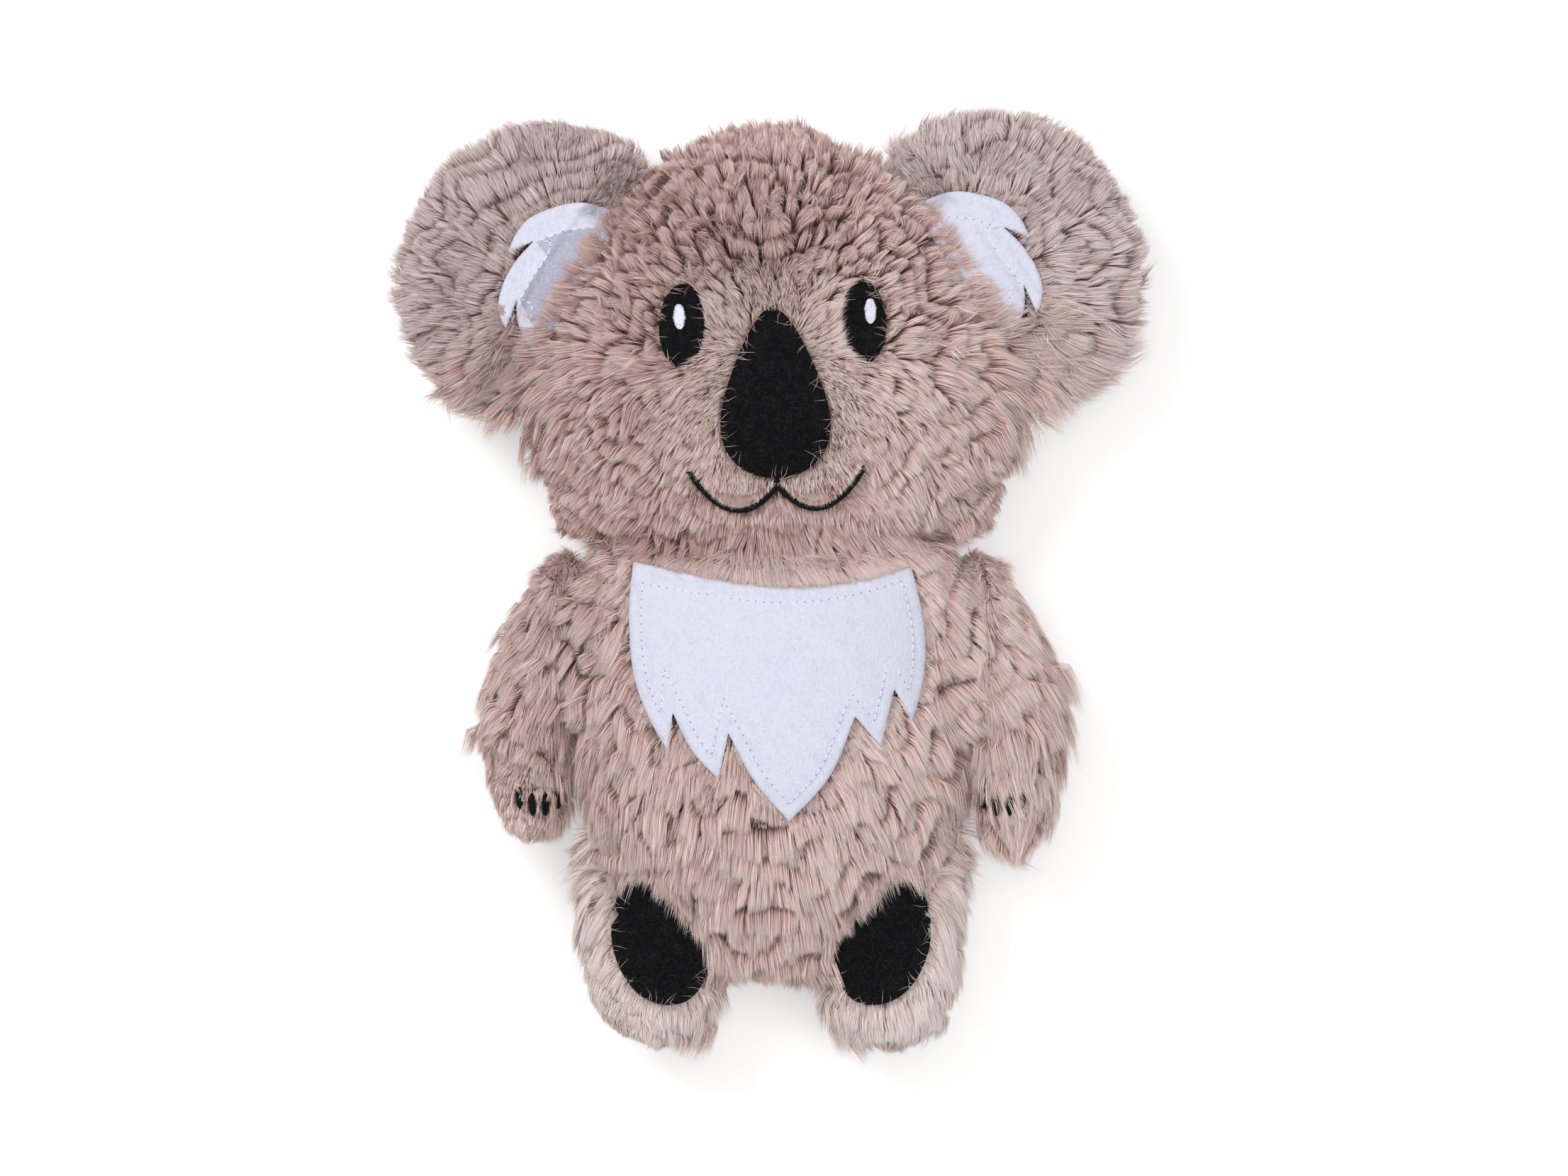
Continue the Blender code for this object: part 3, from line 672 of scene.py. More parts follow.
def new_material(name, roughness):
    material = bpy.data.materials.new(name)
    material.use_nodes = True
    tree = material.node_tree
    shader = tree.nodes["Principled BSDF"]
    shader.inputs["Roughness"].default_value = roughness
    return material, tree, shader


def screen(red, green, blue):
    """A colour given as it looks on a screen, 0 to 255."""
    shares = [value / 255 for value in (red, green, blue)]
    return tuple(s / 12.92 if s <= 0.04045 else ((s + 0.055) / 1.055) ** 2.4 for s in shares) + (1,)


def ramp(tree, source, places, colours):
    node = tree.nodes.new("ShaderNodeValToRGB")
    elements = node.color_ramp.elements
    while len(elements) < len(colours):
        elements.new(0.5)
    for element, place, colour in zip(elements, places, colours):
        element.position = place
        element.color = screen(*colour)
    tree.links.new(source, node.inputs[0])
    return node.outputs[0]


def grain(tree, scale, detail, stretch=None):
    """Noise in the object's own space, so that it stays put on a moving piece."""
    places = tree.nodes.new("ShaderNodeTexCoord")
    noise = tree.nodes.new("ShaderNodeTexNoise")
    noise.inputs["Scale"].default_value = scale
    noise.inputs["Detail"].default_value = detail
    source = places.outputs["Object"]
    if stretch is not None:
        shaping = tree.nodes.new("ShaderNodeMapping")
        shaping.inputs["Scale"].default_value = stretch
        tree.links.new(source, shaping.inputs[0])
        source = shaping.outputs[0]
    tree.links.new(source, noise.inputs["Vector"])
    return noise.outputs["Fac"]


def mottled_material(name, low, high, roughness, scale, detail):
    """A material whose colour wanders between two."""
    material, tree, shader = new_material(name, roughness)
    colour = ramp(tree, grain(tree, scale, detail), (0.3, 0.7), (low, high))
    tree.links.new(colour, shader.inputs["Base Color"])
    return material, tree, shader


def backing_material():
    """Knitted backing, dark between the roots of the pile."""
    return mottled_material("pile_backing", (96, 66, 60), (128, 94, 87), 0.95, 900, 3)[0]


def felt_material(name, low, high, depth, sheen=0.08):
    """Pressed fibre: soft mottling, and a fine nap that runs mostly one way."""
    material, tree, shader = mottled_material(name, low, high, 0.95, 900, 5)
    shader.inputs["Specular IOR Level"].default_value = 0.1
    shader.inputs["Sheen Weight"].default_value = sheen
    bump = tree.nodes.new("ShaderNodeBump")
    bump.inputs["Distance"].default_value = depth
    tree.links.new(grain(tree, 1100, 6, (1, 0.5, 1)), bump.inputs["Height"])
    tree.links.new(bump.outputs[0], shader.inputs["Normal"])
    return material


def thread_material(name, low, high, roughness, gloss):
    material, _, shader = mottled_material(name, low, high, roughness, 2500, 2)
    shader.inputs["Specular IOR Level"].default_value = gloss
    return material


def pile_material(name, dark, pale, roughness=0.62, sheen=0.15):
    """Fibre colours from the root to the tip, for the darkest and palest shade; the dark roots are
    partly painted shade.
    """
    material, tree, shader = new_material(name, roughness)
    places = (0.0, 0.4, 1.0) if len(dark) == 3 else (0.0, 1.0)
    maps = tree.nodes.new("ShaderNodeUVMap")
    maps.uv_map = "OFBake"
    split = tree.nodes.new("ShaderNodeSeparateXYZ")
    tree.links.new(maps.outputs[0], split.inputs[0])
    mix = tree.nodes.new("ShaderNodeMix")
    mix.data_type = "RGBA"
    tree.links.new(split.outputs[1], mix.inputs[0])
    tree.links.new(ramp(tree, split.outputs[0], places, dark), mix.inputs[6])
    tree.links.new(ramp(tree, split.outputs[0], places, pale), mix.inputs[7])
    tree.links.new(mix.outputs[2], shader.inputs["Base Color"])
    shader.inputs["Specular IOR Level"].default_value = 0.35
    shader.inputs["Sheen Weight"].default_value = sheen
    shader.inputs["Sheen Roughness"].default_value = 0.4
    return material


# Where the pile lies: it runs the way that a lay rises over the plane


def torso_lay(p):
    x, y = p[:, 0] - NECK[0], p[:, 1]
    slant = 0.32 + 0.10 * np.tanh(x / 0.03)
    shoulder = 0.38 * smoothstep(-0.090, 0.020, y)
    return -y + (slant + shoulder) * np.sqrt(x**2 + 0.025**2)


def head_lay(p):
    x, y = p[:, 0] - HEAD_MIDDLE[0], p[:, 1] - HEAD_MIDDLE[1]
    reach = np.sqrt(x**2 + (0.85 * y) ** 2 + 0.008**2)
    droop = smoothstep(0.03, -0.03, y)
    return reach - droop * 0.9 * y


def ear_lay(centre):
    return lambda p: np.sqrt((p[:, 0] - centre[0]) ** 2 + (p[:, 1] - centre[1]) ** 2)


def arm_lay(side):
    def lay(p):
        x = side * (p[:, 0] - NECK[0]) - 0.09
        return -p[:, 1] + 0.45 * x * smoothstep(-0.09, -0.01, p[:, 1]) + 0.22 * x

    return lay


def leg_lay(side):
    def lay(p):
        x, y = side * (p[:, 0] - NECK[0]) - 0.044, p[:, 1] + 0.142
        return 0.55 * np.sqrt(x**2 + y**2 + 0.01**2) - 0.7 * y

    return lay


def gradient(lay, points):
    """Which way a lay rises over the plane, and how steeply."""
    step = 0.5 * MM
    slope = np.zeros(points.shape)
    for axis in range(2):
        shift = np.zeros(3)
        shift[axis] = step
        slope[:, axis] = (lay(points + shift) - lay(points - shift)) / (2 * step)
    return slope


# How short, how upright and how dark the pile is, from place to place


def plain(value):
    return lambda p, n: np.full(len(p), float(value))


def face_reach(p):
    x, y = p[:, 0] - HEAD_MIDDLE[0], p[:, 1] - 0.070
    return np.sqrt((x / 0.95) ** 2 + (y / 1.25) ** 2)


def head_short(p, n):
    """Short round the nose and the mouth, and long at the cheeks below the ears."""
    front = smoothstep(0.2, 0.6, n[:, 2])
    below_ear = smoothstep(0.045, 0.060, p[:, 1]) * smoothstep(0.095, 0.080, p[:, 1])
    aside = np.abs(p[:, 0] - HEAD_MIDDLE[0])
    cheek = smoothstep(0.070, 0.085, aside) * below_ear * (0.6 + 0.2 * np.sign(p[:, 0]))
    jaw = smoothstep(0.068, 0.080, aside) * smoothstep(0.050, 0.038, p[:, 1])
    top = smoothstep(0.146, 0.165, p[:, 1])
    face = 0.55 * (1 - smoothstep(0.026, 0.050, face_reach(p))) * front
    return 1 - face + cheek - 0.45 * jaw - 0.25 * top


def head_rows(p, n):
    return 0.15 + 0.75 * smoothstep(0.030, 0.052, face_reach(p))


def head_stand(p, n):
    """Ruffled over the forehead and beside the eyes."""
    x, y = p[:, 0] - HEAD_MIDDLE[0], p[:, 1]
    high = smoothstep(0.098, 0.118, y - 0.12 * np.abs(x)) * 0.9
    beside = 0.7 * smoothstep(0.030, 0.042, np.abs(x)) * smoothstep(0.080, 0.098, y)
    front = smoothstep(0.0, 0.5, n[:, 2])
    return np.maximum(high, beside) * front * smoothstep(0.074, 0.056, np.abs(x))


def head_shade(p, n):
    """Palest round the nose and mouth and darkest over the forehead; painted shade on the right
    cheek and on the chin by the neck's crease.
    """
    face = 0.34 * (1 - smoothstep(0.026, 0.050, face_reach(p)))
    cheek = 0.12 * smoothstep(-0.030, -0.055, p[:, 0])
    chin = 0.20 * smoothstep(0.032, 0.022, p[:, 1])
    return face - cheek - chin - 0.10 * smoothstep(0.105, 0.130, p[:, 1])


def torso_short(p, n):
    """Short between the legs, beside the neck and above the legs, long beside the right paw."""
    x, y = p[:, 0] - NECK[0], p[:, 1]
    between = smoothstep(0.034, 0.022, np.abs(x)) * smoothstep(-0.138, -0.156, y)
    ends = 0.65 * smoothstep(-0.095, -0.110, y) + 0.50 * smoothstep(-0.015, 0.005, y)
    paw = smoothstep(-0.064, -0.074, x) * smoothstep(-0.050, -0.060, y)
    paw = paw * smoothstep(-0.105, -0.090, y)
    between = between * (0.30 - 0.12 * np.sign(x))
    return 1 - between - ends * smoothstep(0.060, 0.074, np.abs(x)) + 0.25 * paw


def torso_stand(p, n):
    """The fur of the right shoulder and side is the most ruffled."""
    x, y = p[:, 0] - NECK[0], p[:, 1]
    return 0.30 * smoothstep(0.045, 0.064, -x) * smoothstep(-0.09, -0.04, y)


def ear_short(p, n):
    """The ears' fur hangs down, so it reaches further at the bottom than at the top."""
    high = (p[:, 1] - 0.122) / EAR_RADIUS
    out = (np.abs(p[:, 0]) - 0.110) / EAR_RADIUS
    corner = 0.26 * smoothstep(-0.15, 0.35, high) * smoothstep(0.1, 0.5, out)
    left = 0.84 - 0.32 * high + 0.40 * smoothstep(-0.2, -0.8, high)
    right = 0.72 - 0.12 * high
    right = right - 0.20 * smoothstep(0.3, 0.7, high) * smoothstep(-0.1, -0.5, out)
    return np.where(p[:, 0] > 0, left, right) - corner


def arm_short(p, n):
    """Shorter at the right paw, but for its inner side, which meets the torso."""
    x, y = p[:, 0] - NECK[0], p[:, 1]
    inner = smoothstep(0.092, 0.080, np.abs(x))
    low = smoothstep(-0.050, -0.075, y)
    end = smoothstep(-0.088, -0.100, y)
    left = 1 + 0.34 * smoothstep(-0.005, -0.025, y) - 0.30 * low + (0.35 + 0.30 * inner) * end
    right = 1 - (0.62 - 0.72 * inner * smoothstep(-0.102, -0.090, y)) * low
    return np.where(x > 0, left, right) - 0.45 * smoothstep(-0.012, 0.004, y)


def arm_stand(p, n):
    """The outer side of the right arm is ruffled."""
    return 0.07 * smoothstep(-0.085, -0.100, p[:, 0])


def arm_shade(p, n):
    return 0.05 + 0.03 * np.sign(-p[:, 0]) + 0.20 * smoothstep(-0.06, -0.10, p[:, 1])


def leg_short(p, n):
    """Shorter at the toes, most of all at the outer corner of the right foot."""
    x, y = p[:, 0] - NECK[0], p[:, 1]
    low = smoothstep(-0.160, -0.180, y)
    inner = smoothstep(0.038, 0.026, np.abs(x)) * smoothstep(-0.150, -0.162, y)
    corner = 0.60 * smoothstep(-0.038, -0.060, x) * smoothstep(-0.14, -0.17, y)
    outer = 0.30 * smoothstep(0.064, 0.076, np.abs(x))
    return np.maximum(1 - 0.35 * low * (1 - inner) + 0.4 * inner - corner - outer, 0.12)


def neck_stand(p, n):
    """The fur of the crease is ruffled at the right and smooth at the left."""
    return (0.35 + 0.15 * RIPPLE(p)) * smoothstep(0.005, -0.040, p[:, 0])


def neck_shade(p, n):
    """Painted shade in the crease, darkest at the right and fading towards the left."""
    crease = smoothstep(0.004, 0.012, p[:, 1])
    return -(0.30 + 0.34 * smoothstep(0.01, -0.045, p[:, 0])) * crease


# In each style, lengths are in millimetres
STYLES = {
    "torso": dict(
        depth=5.0, tuft=5.2, pitch=10.5, overhang=3.4, height=(-0.2, 5.2), warp=0.5, turn=0.14,
        stray=0.05, fluff=0.8, gather=0.06, shade=plain(0.12), short=torso_short,
        rows=plain(0.95), stand=torso_stand,
    ),
    "head": dict(
        depth=5.0, tuft=3.6, pitch=8.5, overhang=3.2, height=(0.2, 4.8), warp=0.7, turn=0.28,
        stray=0.10, fluff=0.8, gather=0.10, shade=head_shade, short=head_short,
        rows=head_rows, stand=head_stand,
    ),
    "ear": dict(
        depth=3.6, tuft=4.0, pitch=9.0, overhang=4.0, height=(0.2, 4.8), warp=0.75, turn=0.24,
        stray=0.09, fluff=0.5, gather=0.05, shade=plain(-0.02), short=ear_short,
        rows=plain(0.9), stand=plain(0.05),
    ),
    "arm": dict(
        depth=3.6, tuft=4.2, pitch=8.8, overhang=4.2, height=(0.4, 4.4), warp=0.7, turn=0.2,
        stray=0.09, fluff=0.7, gather=0.10, shade=arm_shade, short=arm_short,
        rows=plain(0.85), stand=arm_stand,
    ),
    "leg": dict(
        depth=3.6, tuft=4.8, pitch=10, overhang=4.6, height=(0.4, 3.8), warp=0.7, turn=0.22,
        stray=0.09, fluff=0.5, gather=0.20, shade=plain(0.45), short=leg_short,
        rows=plain(0.7), stand=plain(0),
    ),
    "neck": dict(
        depth=3.0, tuft=4.4, pitch=9, overhang=4.8, height=(0.0, 4.4), warp=0.7, turn=0.16,
        stray=0.08, fluff=0.0, gather=0.08, shade=neck_shade, short=plain(1),
        rows=plain(0.9), stand=neck_stand,
    ),
}


# Pile


class Clearing:
    """A felt or embroidered outline that the pile stays off, but for what laps over its edge.

    The distance to the outline is kept on a grid. A cut line leaves only the side that it
    points to, where the pile of a neighbour hides the rest of the felt.
    """

    STEP = 0.5 * MM
    MARGIN = 16 * MM

    def __init__(self, outline, lap, cut=None):
        self.lap = lap
        self.low = outline.min(axis=0) - self.MARGIN
        size = outline.max(axis=0) + self.MARGIN - self.low
        self.count = np.ceil(size / self.STEP).astype(int) + 1
        marks = [self.low[k] + np.arange(self.count[k]) * self.STEP for k in range(2)]
        spots = np.stack(np.meshgrid(*marks, indexing="ij"), axis=-1).reshape(-1, 2)
        gap = distance_to(spots, outline)
        self.whole = gap.reshape(self.count)
        if cut is not None:
            point, way = cut
            gap = np.maximum(gap, -((spots - point) @ way))
        self.gap = gap.reshape(self.count)

    def read(self, grid, p):
        place = (p[:, :2] - self.low) / self.STEP
        away = (place < 0).any(axis=1) | (place > self.count - 2).any(axis=1)
        place = np.clip(place, 0, self.count - 2.001)
        i, j = place.astype(int).T
        u, v = (place - place.astype(int)).T
        gap = grid[i, j] * (1 - u) * (1 - v) + grid[i + 1, j] * u * (1 - v)
        gap = gap + grid[i, j + 1] * (1 - u) * v + grid[i + 1, j + 1] * u * v
        return np.where(away, self.MARGIN, gap)

    def __call__(self, p):
        return self.read(self.gap, p)

    def fit(self, p, n, tangent, run, height, keep, calm):
        """Drops, presses or lifts the strands near the felt.

        Those that lap over it are made to end along its edge, and are marked as calm.
        """
        front = (p[:, 2] > SEAM_HEIGHT) & (n[:, 2] > 0.1)
        index = np.flatnonzero(front & (self(p) < self.MARGIN))
        if not len(index):
            return
        p, tangent = p[index], tangent[index]
        lap = self.lap(p)
        wide = lap > 2 * MM
        long = run[index] + np.where(wide & (self(p) < 9 * MM), 4 * MM, 0)
        # Where each strand first enters the felt, as a share of its length
        marks = (0.0, 0.25, 0.5, 0.75, 1.0)
        gaps = [self(p + tangent * (long * mark)[:, None]) for mark in marks]
        here, there = gaps[0], gaps[-1]
        reach = lap * (0.3 + 0.7 * rng.random(len(index)) ** 4)
        share = np.ones(len(index))
        for before, after, first in zip(gaps[::-1][1:], gaps[::-1], marks[::-1][1:]):
            enters = (after < -reach) & (before >= -reach)
            part = (before + reach) / np.maximum(before - after, 1e-9)
            share = np.where(enters, first + 0.25 * part, share)
        share = np.clip(share, 0.1, 1)
        # Strands rooted under the felt's edge that end outside it stay, pressed flat
        under = (here > -4 * MM) & (here < 0.4 * MM) & (there > 1.5 * MM)
        keep[index[(here < 0.4 * MM) & ~under]] = False
        share[under] = 1
        high = height[index]
        pressed = 1 - smoothstep(2 * MM, 5 * MM, lap)
        high = high * (1 - pressed * 0.6 * (1 - smoothstep(0, 7 * MM, here)))
        crosses = (np.minimum.reduce(gaps) < 0) | (self.read(self.whole, p) < 1 * MM)
        clear = np.maximum(high, FELT + SEWN_GAP + 1.2 * MM)
        high = np.where(crosses & (here > 0), clear, high)
        height[index] = np.where(under, 0.1 * MM, high)
        laps = (np.minimum.reduce(gaps) < 0) & (here > 0)
        run[index] = np.where(laps, long * share, run[index])
        calm[index[laps & wide]] = True


def grow(name, skin, lay, style, material, felts, place, forms=()):
    """Fibres in rows that lie over each other, gathered into tufts where their tips end.

    Beside the neck they stay near these forms.
    """
    p, n = scatter(skin, STRAND_SPACING, BACK_SHARE)
    seeds, _ = scatter(skin, style["tuft"] * MM)
    total = len(p)
    slope = gradient(lay, p)
    steep = np.linalg.norm(slope, axis=1)
    flow = unit(slope)
    out = (flow * n).sum(axis=1)
    tangent = flow - n * out[:, None]
    lean = np.linalg.norm(tangent, axis=1)
    tangent = unit(tangent)
    rim = 1 - smoothstep(0.15, 0.65, np.abs(n[:, 2]))
    short, rows, stand = (style[key](p, n) for key in ("short", "rows", "stand"))

    # Each strand belongs to the tuft in which its row ends
    pitch = style["pitch"] * MM
    phase = lay(p) / pitch + style["warp"] * WARP(p)
    saw = 1 - (phase - np.floor(phase))
    saw = rows * saw + (1 - rows) * 0.5
    ahead = saw * pitch / np.maximum(steep * lean, 0.5)
    tuft = nearest(seeds, p + tangent * ahead[:, None])
    jag, bias, splay, bulge = rng.normal(size=(4, len(seeds)))[:, tuft]
    turn = TURN(seeds)[tuft] * style["turn"] + splay * (style["stray"] + 0.9 * stand)
    aside = np.cross(n, tangent)
    tangent = tangent * np.cos(turn)[:, None] + aside * np.sin(turn)[:, None]
    aside = np.cross(n, tangent)

    # How far each strand runs along the form, and how high its tip ends over it
    run = (style["overhang"] * MM + ahead + (0.16 + 0.14 * rim) * pitch * jag) * (0.4 + 0.6 * lean)
    run = run * short * (1 - 0.65 * stand) * rng.uniform(0.9, 1.04, total)
    run = np.maximum(run, 1.5 * MM)
    low, high = style["height"]
    height = (low + (high - low) * saw + 0.6 * BROAD(p) + 0.45 * bulge) * short
    beside = p - seeds[tuft]
    beside = beside - tangent * (0.88 * (beside * tangent).sum(axis=1))[:, None]
    streak = STREAKS(beside + seeds[tuft] * 40)
    height = height + stand * (0.6 + 0.9 * bulge) + 0.35 * streak + rng.normal(size=total) * 0.25
    height = height * (1 - 0.3 * rim) + rim * short * (style["fluff"] + 1.5 * np.maximum(jag, 0))
    height = height * MM + np.maximum(out, 0) * run * 0.25
    keep = np.ones(total, dtype=bool)
    calm = np.zeros(total, dtype=bool)
    for felt in felts:
        felt.fit(p, n, tangent, run, height, keep, calm)

    # The curve of each strand, drawn towards the middle line of its tuft
    apart = ((p + tangent * run[:, None] - seeds[tuft]) * aside).sum(axis=1)
    gather = np.maximum(style["gather"], 0.45 * stand)
    gather = np.where(calm, 0.15, gather + (0.75 - gather) * rim)
    apart = np.clip(apart, -4 * MM, 4 * MM) * gather
    root = p - n * style["depth"] * MM
    lift = np.maximum(height, 0.2 * MM)
    bend = p + n * (lift * 1.25)[:, None] + tangent * (run * 0.16)[:, None]
    loose = rng.normal(size=(total, 3)) * 0.22 * MM
    tip = p + n * height[:, None] + tangent * run[:, None] - aside * apart[:, None] + loose
    if forms:
        bring_back(tip, n, keep & (p[:, 1] > -15 * MM), forms, 3.2 * MM)
    middle = 0.25 * root + 0.5 * bend + 0.25 * tip
    along = unit(tip - root)
    side = unit(np.cross(n, along))
    twist = rng.uniform(-0.9, 0.9, total)
    side = side * np.cos(twist)[:, None] + np.cross(along, side) * np.sin(twist)[:, None]
    sparse = n[:, 2] < BACK_TURN
    width = STRAND_WIDTH * rng.uniform(0.7, 1.3, total) * np.where(sparse, 1.7, 1.0)

    shade = 0.62 + style["shade"](p, n) - 0.12 * stand + 0.08 * SHADE(p) + 0.06 * bias
    # Painted light: the pile is painted paler towards the toy's left and darker towards its right
    shade = shade + 0.13 * np.tanh(p[:, 0] / 0.05)
    # Painted shade: strands lying low in each row, under the ledge of the row above, are painted
    # darker than those on top
    shade = shade + 0.12 * (saw - 0.5) + 0.18 * streak + rng.normal(size=total) * 0.20

    strands = [values[keep] for values in (root, middle, tip, side, width, shade)]
    parts = max(1, math.ceil(keep.sum() / STRANDS_PER_PIECE))
    size = math.ceil(keep.sum() / parts)
    for index in range(parts):
        piece = [values[index * size : (index + 1) * size] for values in strands]
        fur = ribbons(f"{name}_pile_{index + 1}", *piece, material)
        place(fur)


def backing(body, rise):
    """The backing of the plush, a full rounded form between the stuffing and the pile."""
    mesh = smoothed(frame["nodes"][body + "_stuffing"].data.copy(), 2)
    points, _ = arrays_of(mesh)
    points = narrow_shoulders(body, points + normals_of(mesh) * rise)
    points[:, 2] = np.maximum(points[:, 2], FLOOR_CLEARANCE)
    mesh.vertices.foreach_set("co", points.ravel())
    shade_smooth(mesh)
    mesh.materials.clear()
    skin = new_object(body + "_backing", mesh, BACKING)
    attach(skin, body)
    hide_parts(body + "_front_cover", body + "_back_cover", body + "_stuffing")


def kind_of(joint):
    return joint["name"].replace("left_", "").replace("right_", "")


def crossing(joint, larger, smaller, inset, name):
    """A rounded strip that fills the bend of a seam from one piece to the other."""
    before, after, (low, high), sink = CROSSINGS[kind_of(joint)]
    middle, axis = np.array(joint["pos_m"]), np.array(joint["axis"])
    if axis[1] > 0:
        low, high = -high, -low
    outward = np.cross(UP, axis)
    marks = np.arange(low, high + MM, 3 * MM)
    shares = np.linspace(0, 1, 9)
    start = (middle + axis * marks[:, None] - outward * before)[:, :2]
    end = (middle + axis * marks[:, None] + outward * after)[:, :2]
    drop = sink * np.sin(math.pi * shares)[None, :]
    rows = []
    for sign, below in ((1, False), (-1, True)):
        a = filled(height_on(larger, start, below))
        b = filled(height_on(smaller, end, below))
        rows.append(a[:, None] * (1 - shares) + b[:, None] * shares - sign * (drop + inset))
    top, bottom = rows
    # The strip closes towards both ends of the seam
    close = np.minimum((marks - low) / (8 * MM), (high - marks) / (8 * MM))
    close = (1 - (1 - np.clip(close, 0, 1)) ** 2)[:, None]
    half = np.maximum((top - bottom) / 2 * np.sqrt(close), 0.5 * MM)
    centre = (top + bottom) / 2 * close + SEAM_HEIGHT * (1 - close)
    flat = start[:, None, :] * (1 - shares)[None, :, None] + end[:, None, :] * shares[None, :, None]
    upper = np.concatenate([flat, (centre + half)[:, :, None]], axis=2)
    lower = np.maximum(centre - half, FLOOR_CLEARANCE)
    lower = np.concatenate([flat, lower[:, :, None]], axis=2)
    points = np.concatenate([upper.reshape(-1, 3), lower.reshape(-1, 3)])
    long, wide = len(marks), len(shares)
    faces = []
    for i in range(long - 1):
        for j in range(wide - 1):
            spots = ((i, j), (i, j + 1), (i + 1, j + 1), (i + 1, j))
            a, b, c, d = (r * wide + s for r, s in spots)
            faces.append((a, b, c, d))
            faces.append(tuple(k + long * wide for k in (d, c, b, a)))
    ring = list(range(wide))
    ring += [i * wide + wide - 1 for i in range(1, long)]
    ring += [(long - 1) * wide + j for j in range(wide - 2, -1, -1)]
    ring += [i * wide for i in range(long - 2, 0, -1)]
    for a, b in zip(ring, ring[1:] + ring[:1]):
        faces.append((b, a, a + long * wide, b + long * wide))
    bm = bmesh.new()
    made = [bm.verts.new(p) for p in points]
    for face in faces:
        bm.faces.new([made[k] for k in face])
    bmesh.ops.recalc_face_normals(bm, faces=bm.faces)
    if bm.calc_volume(signed=True) < 0:
        bmesh.ops.reverse_faces(bm, faces=bm.faces)
    mesh = bpy.data.meshes.new(name)
    bm.to_mesh(mesh)
    bm.free()
    return mesh


def across_joint():
    """Bakes a piece's place into its mesh, tied to no body."""

    def place(piece):
        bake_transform(piece)

    return place


def riding(body):
    return lambda piece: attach(piece, body)


# Felt, topstitching and embroidery


def felt_piece(name, skin, outline, materials, place, spacing, groove, fold, seam):
    """A cut of felt laid over a form, dented by its stitching and by the filling below.

    Its materials are those of its face and its cut edge, and of what lies beyond its fold. Past
    a seam it lies deeper, where the pile of the neighbour covers it.
    """
    low, high = outline.min(axis=0), outline.max(axis=0)
    marks = [np.arange(low[k], high[k], spacing) for k in range(2)]
    grid = np.stack(np.meshgrid(*marks), axis=-1).reshape(-1, 2)
    grid = grid + rng.uniform(-0.25, 0.25, grid.shape) * spacing
    grid = grid[distance_to(grid, outline) < -0.5 * spacing]
    line = np.empty((0, 2)) if fold is None else fold[0]
    line = line[distance_to(line, outline) < -0.3 * MM]
    flat = np.vstack([outline, line, grid])
    count = len(outline)
    creases = [(count + k, count + k + 1) for k in range(len(line) - 1)]
    made = delaunay_2d_cdt([Vector(p) for p in flat], creases, [list(range(count))], 1, 1e-9)
    flat = np.array([tuple(v) for v in made[0]])
    faces = [tuple(f) for f in made[2]]
    edge = -distance_to(flat, outline)
    base = filled(height_on(skin, flat)) + SEWN_GAP
    if seam is not None:
        base = base - 2.4 * MM * smoothstep(0, 7 * MM, (seam[0] - flat) @ seam[1])
    dent = np.exp(-(((edge - groove) / (1.1 * MM)) ** 2)) * 0.45 * MM
    round_off = 0.35 * MM * (1 - smoothstep(0, 1.4 * MM, edge))
    dents = 0.10 * MM * FELT_DENTS(np.column_stack([flat, base]))
    top = base + FELT - dent - round_off + dents
    size = len(flat)
    points = np.vstack([np.column_stack([flat, top]), np.column_stack([flat, base])])
    ends = {(a, b): True for face in faces for a, b in zip(face, face[1:] + face[:1])}
    under = [tuple(k + size for k in reversed(face)) for face in faces]
    sides = [(b, a, a + size, b + size) for a, b in ends if (b, a) not in ends]
    mesh = mesh_from(name, points, faces + under + sides)
    # Faces inside the fold take the face material, painted shade on the right ear, and faces beyond
    # it the third
    faced = [0] * len(faces)
    if fold is not None:
        faced = np.where(fold[1](flat[np.array(faces)].mean(axis=1)), 2, 0).tolist()
    made = new_object(name, mesh, *materials)
    mesh.polygons.foreach_set("material_index", faced + [0] * len(faces) + [1] * len(sides))
    bm = bmesh.new()
    bm.from_mesh(mesh)
    bmesh.ops.recalc_face_normals(bm, faces=bm.faces)
    bm.to_mesh(mesh)
    bm.free()
    place(made)
    return made


def fuzz(name, skin, outline, count, shade, width, material, place):
    """Loose fibres that lie on the felt in all directions."""
    low, high = outline.min(axis=0), outline.max(axis=0)
    spots = low + (high - low) * rng.random((count * 3, 2))
    spots = spots[distance_to(spots, outline) < 0.1 * MM][:count]
    total = len(spots)
    turn = rng.uniform(0, 2 * math.pi, total)
    long = rng.uniform(0.8, 2.6, total) * MM
    bend = turn + rng.normal(size=total) * 0.6
    first = spots + np.stack([np.cos(turn), np.sin(turn)], axis=1) * long[:, None]
    second = first + np.stack([np.cos(bend), np.sin(bend)], axis=1) * long[:, None]
    root = over(skin, spots, FELT)
    middle = np.column_stack([first, root[:, 2] + rng.uniform(0.0, 0.35, total) * MM])
    tip = np.column_stack([second, root[:, 2] + rng.uniform(0.0, 0.8, total) * MM])
    root[:, 2] -= 0.1 * MM
    side = unit(np.cross(UP, tip - root))
    widths = width * rng.uniform(0.6, 1.4, total)
    shades = shade + rng.normal(size=total) * 0.22
    place(ribbons(name, root, middle, tip, side, widths, shades, material))


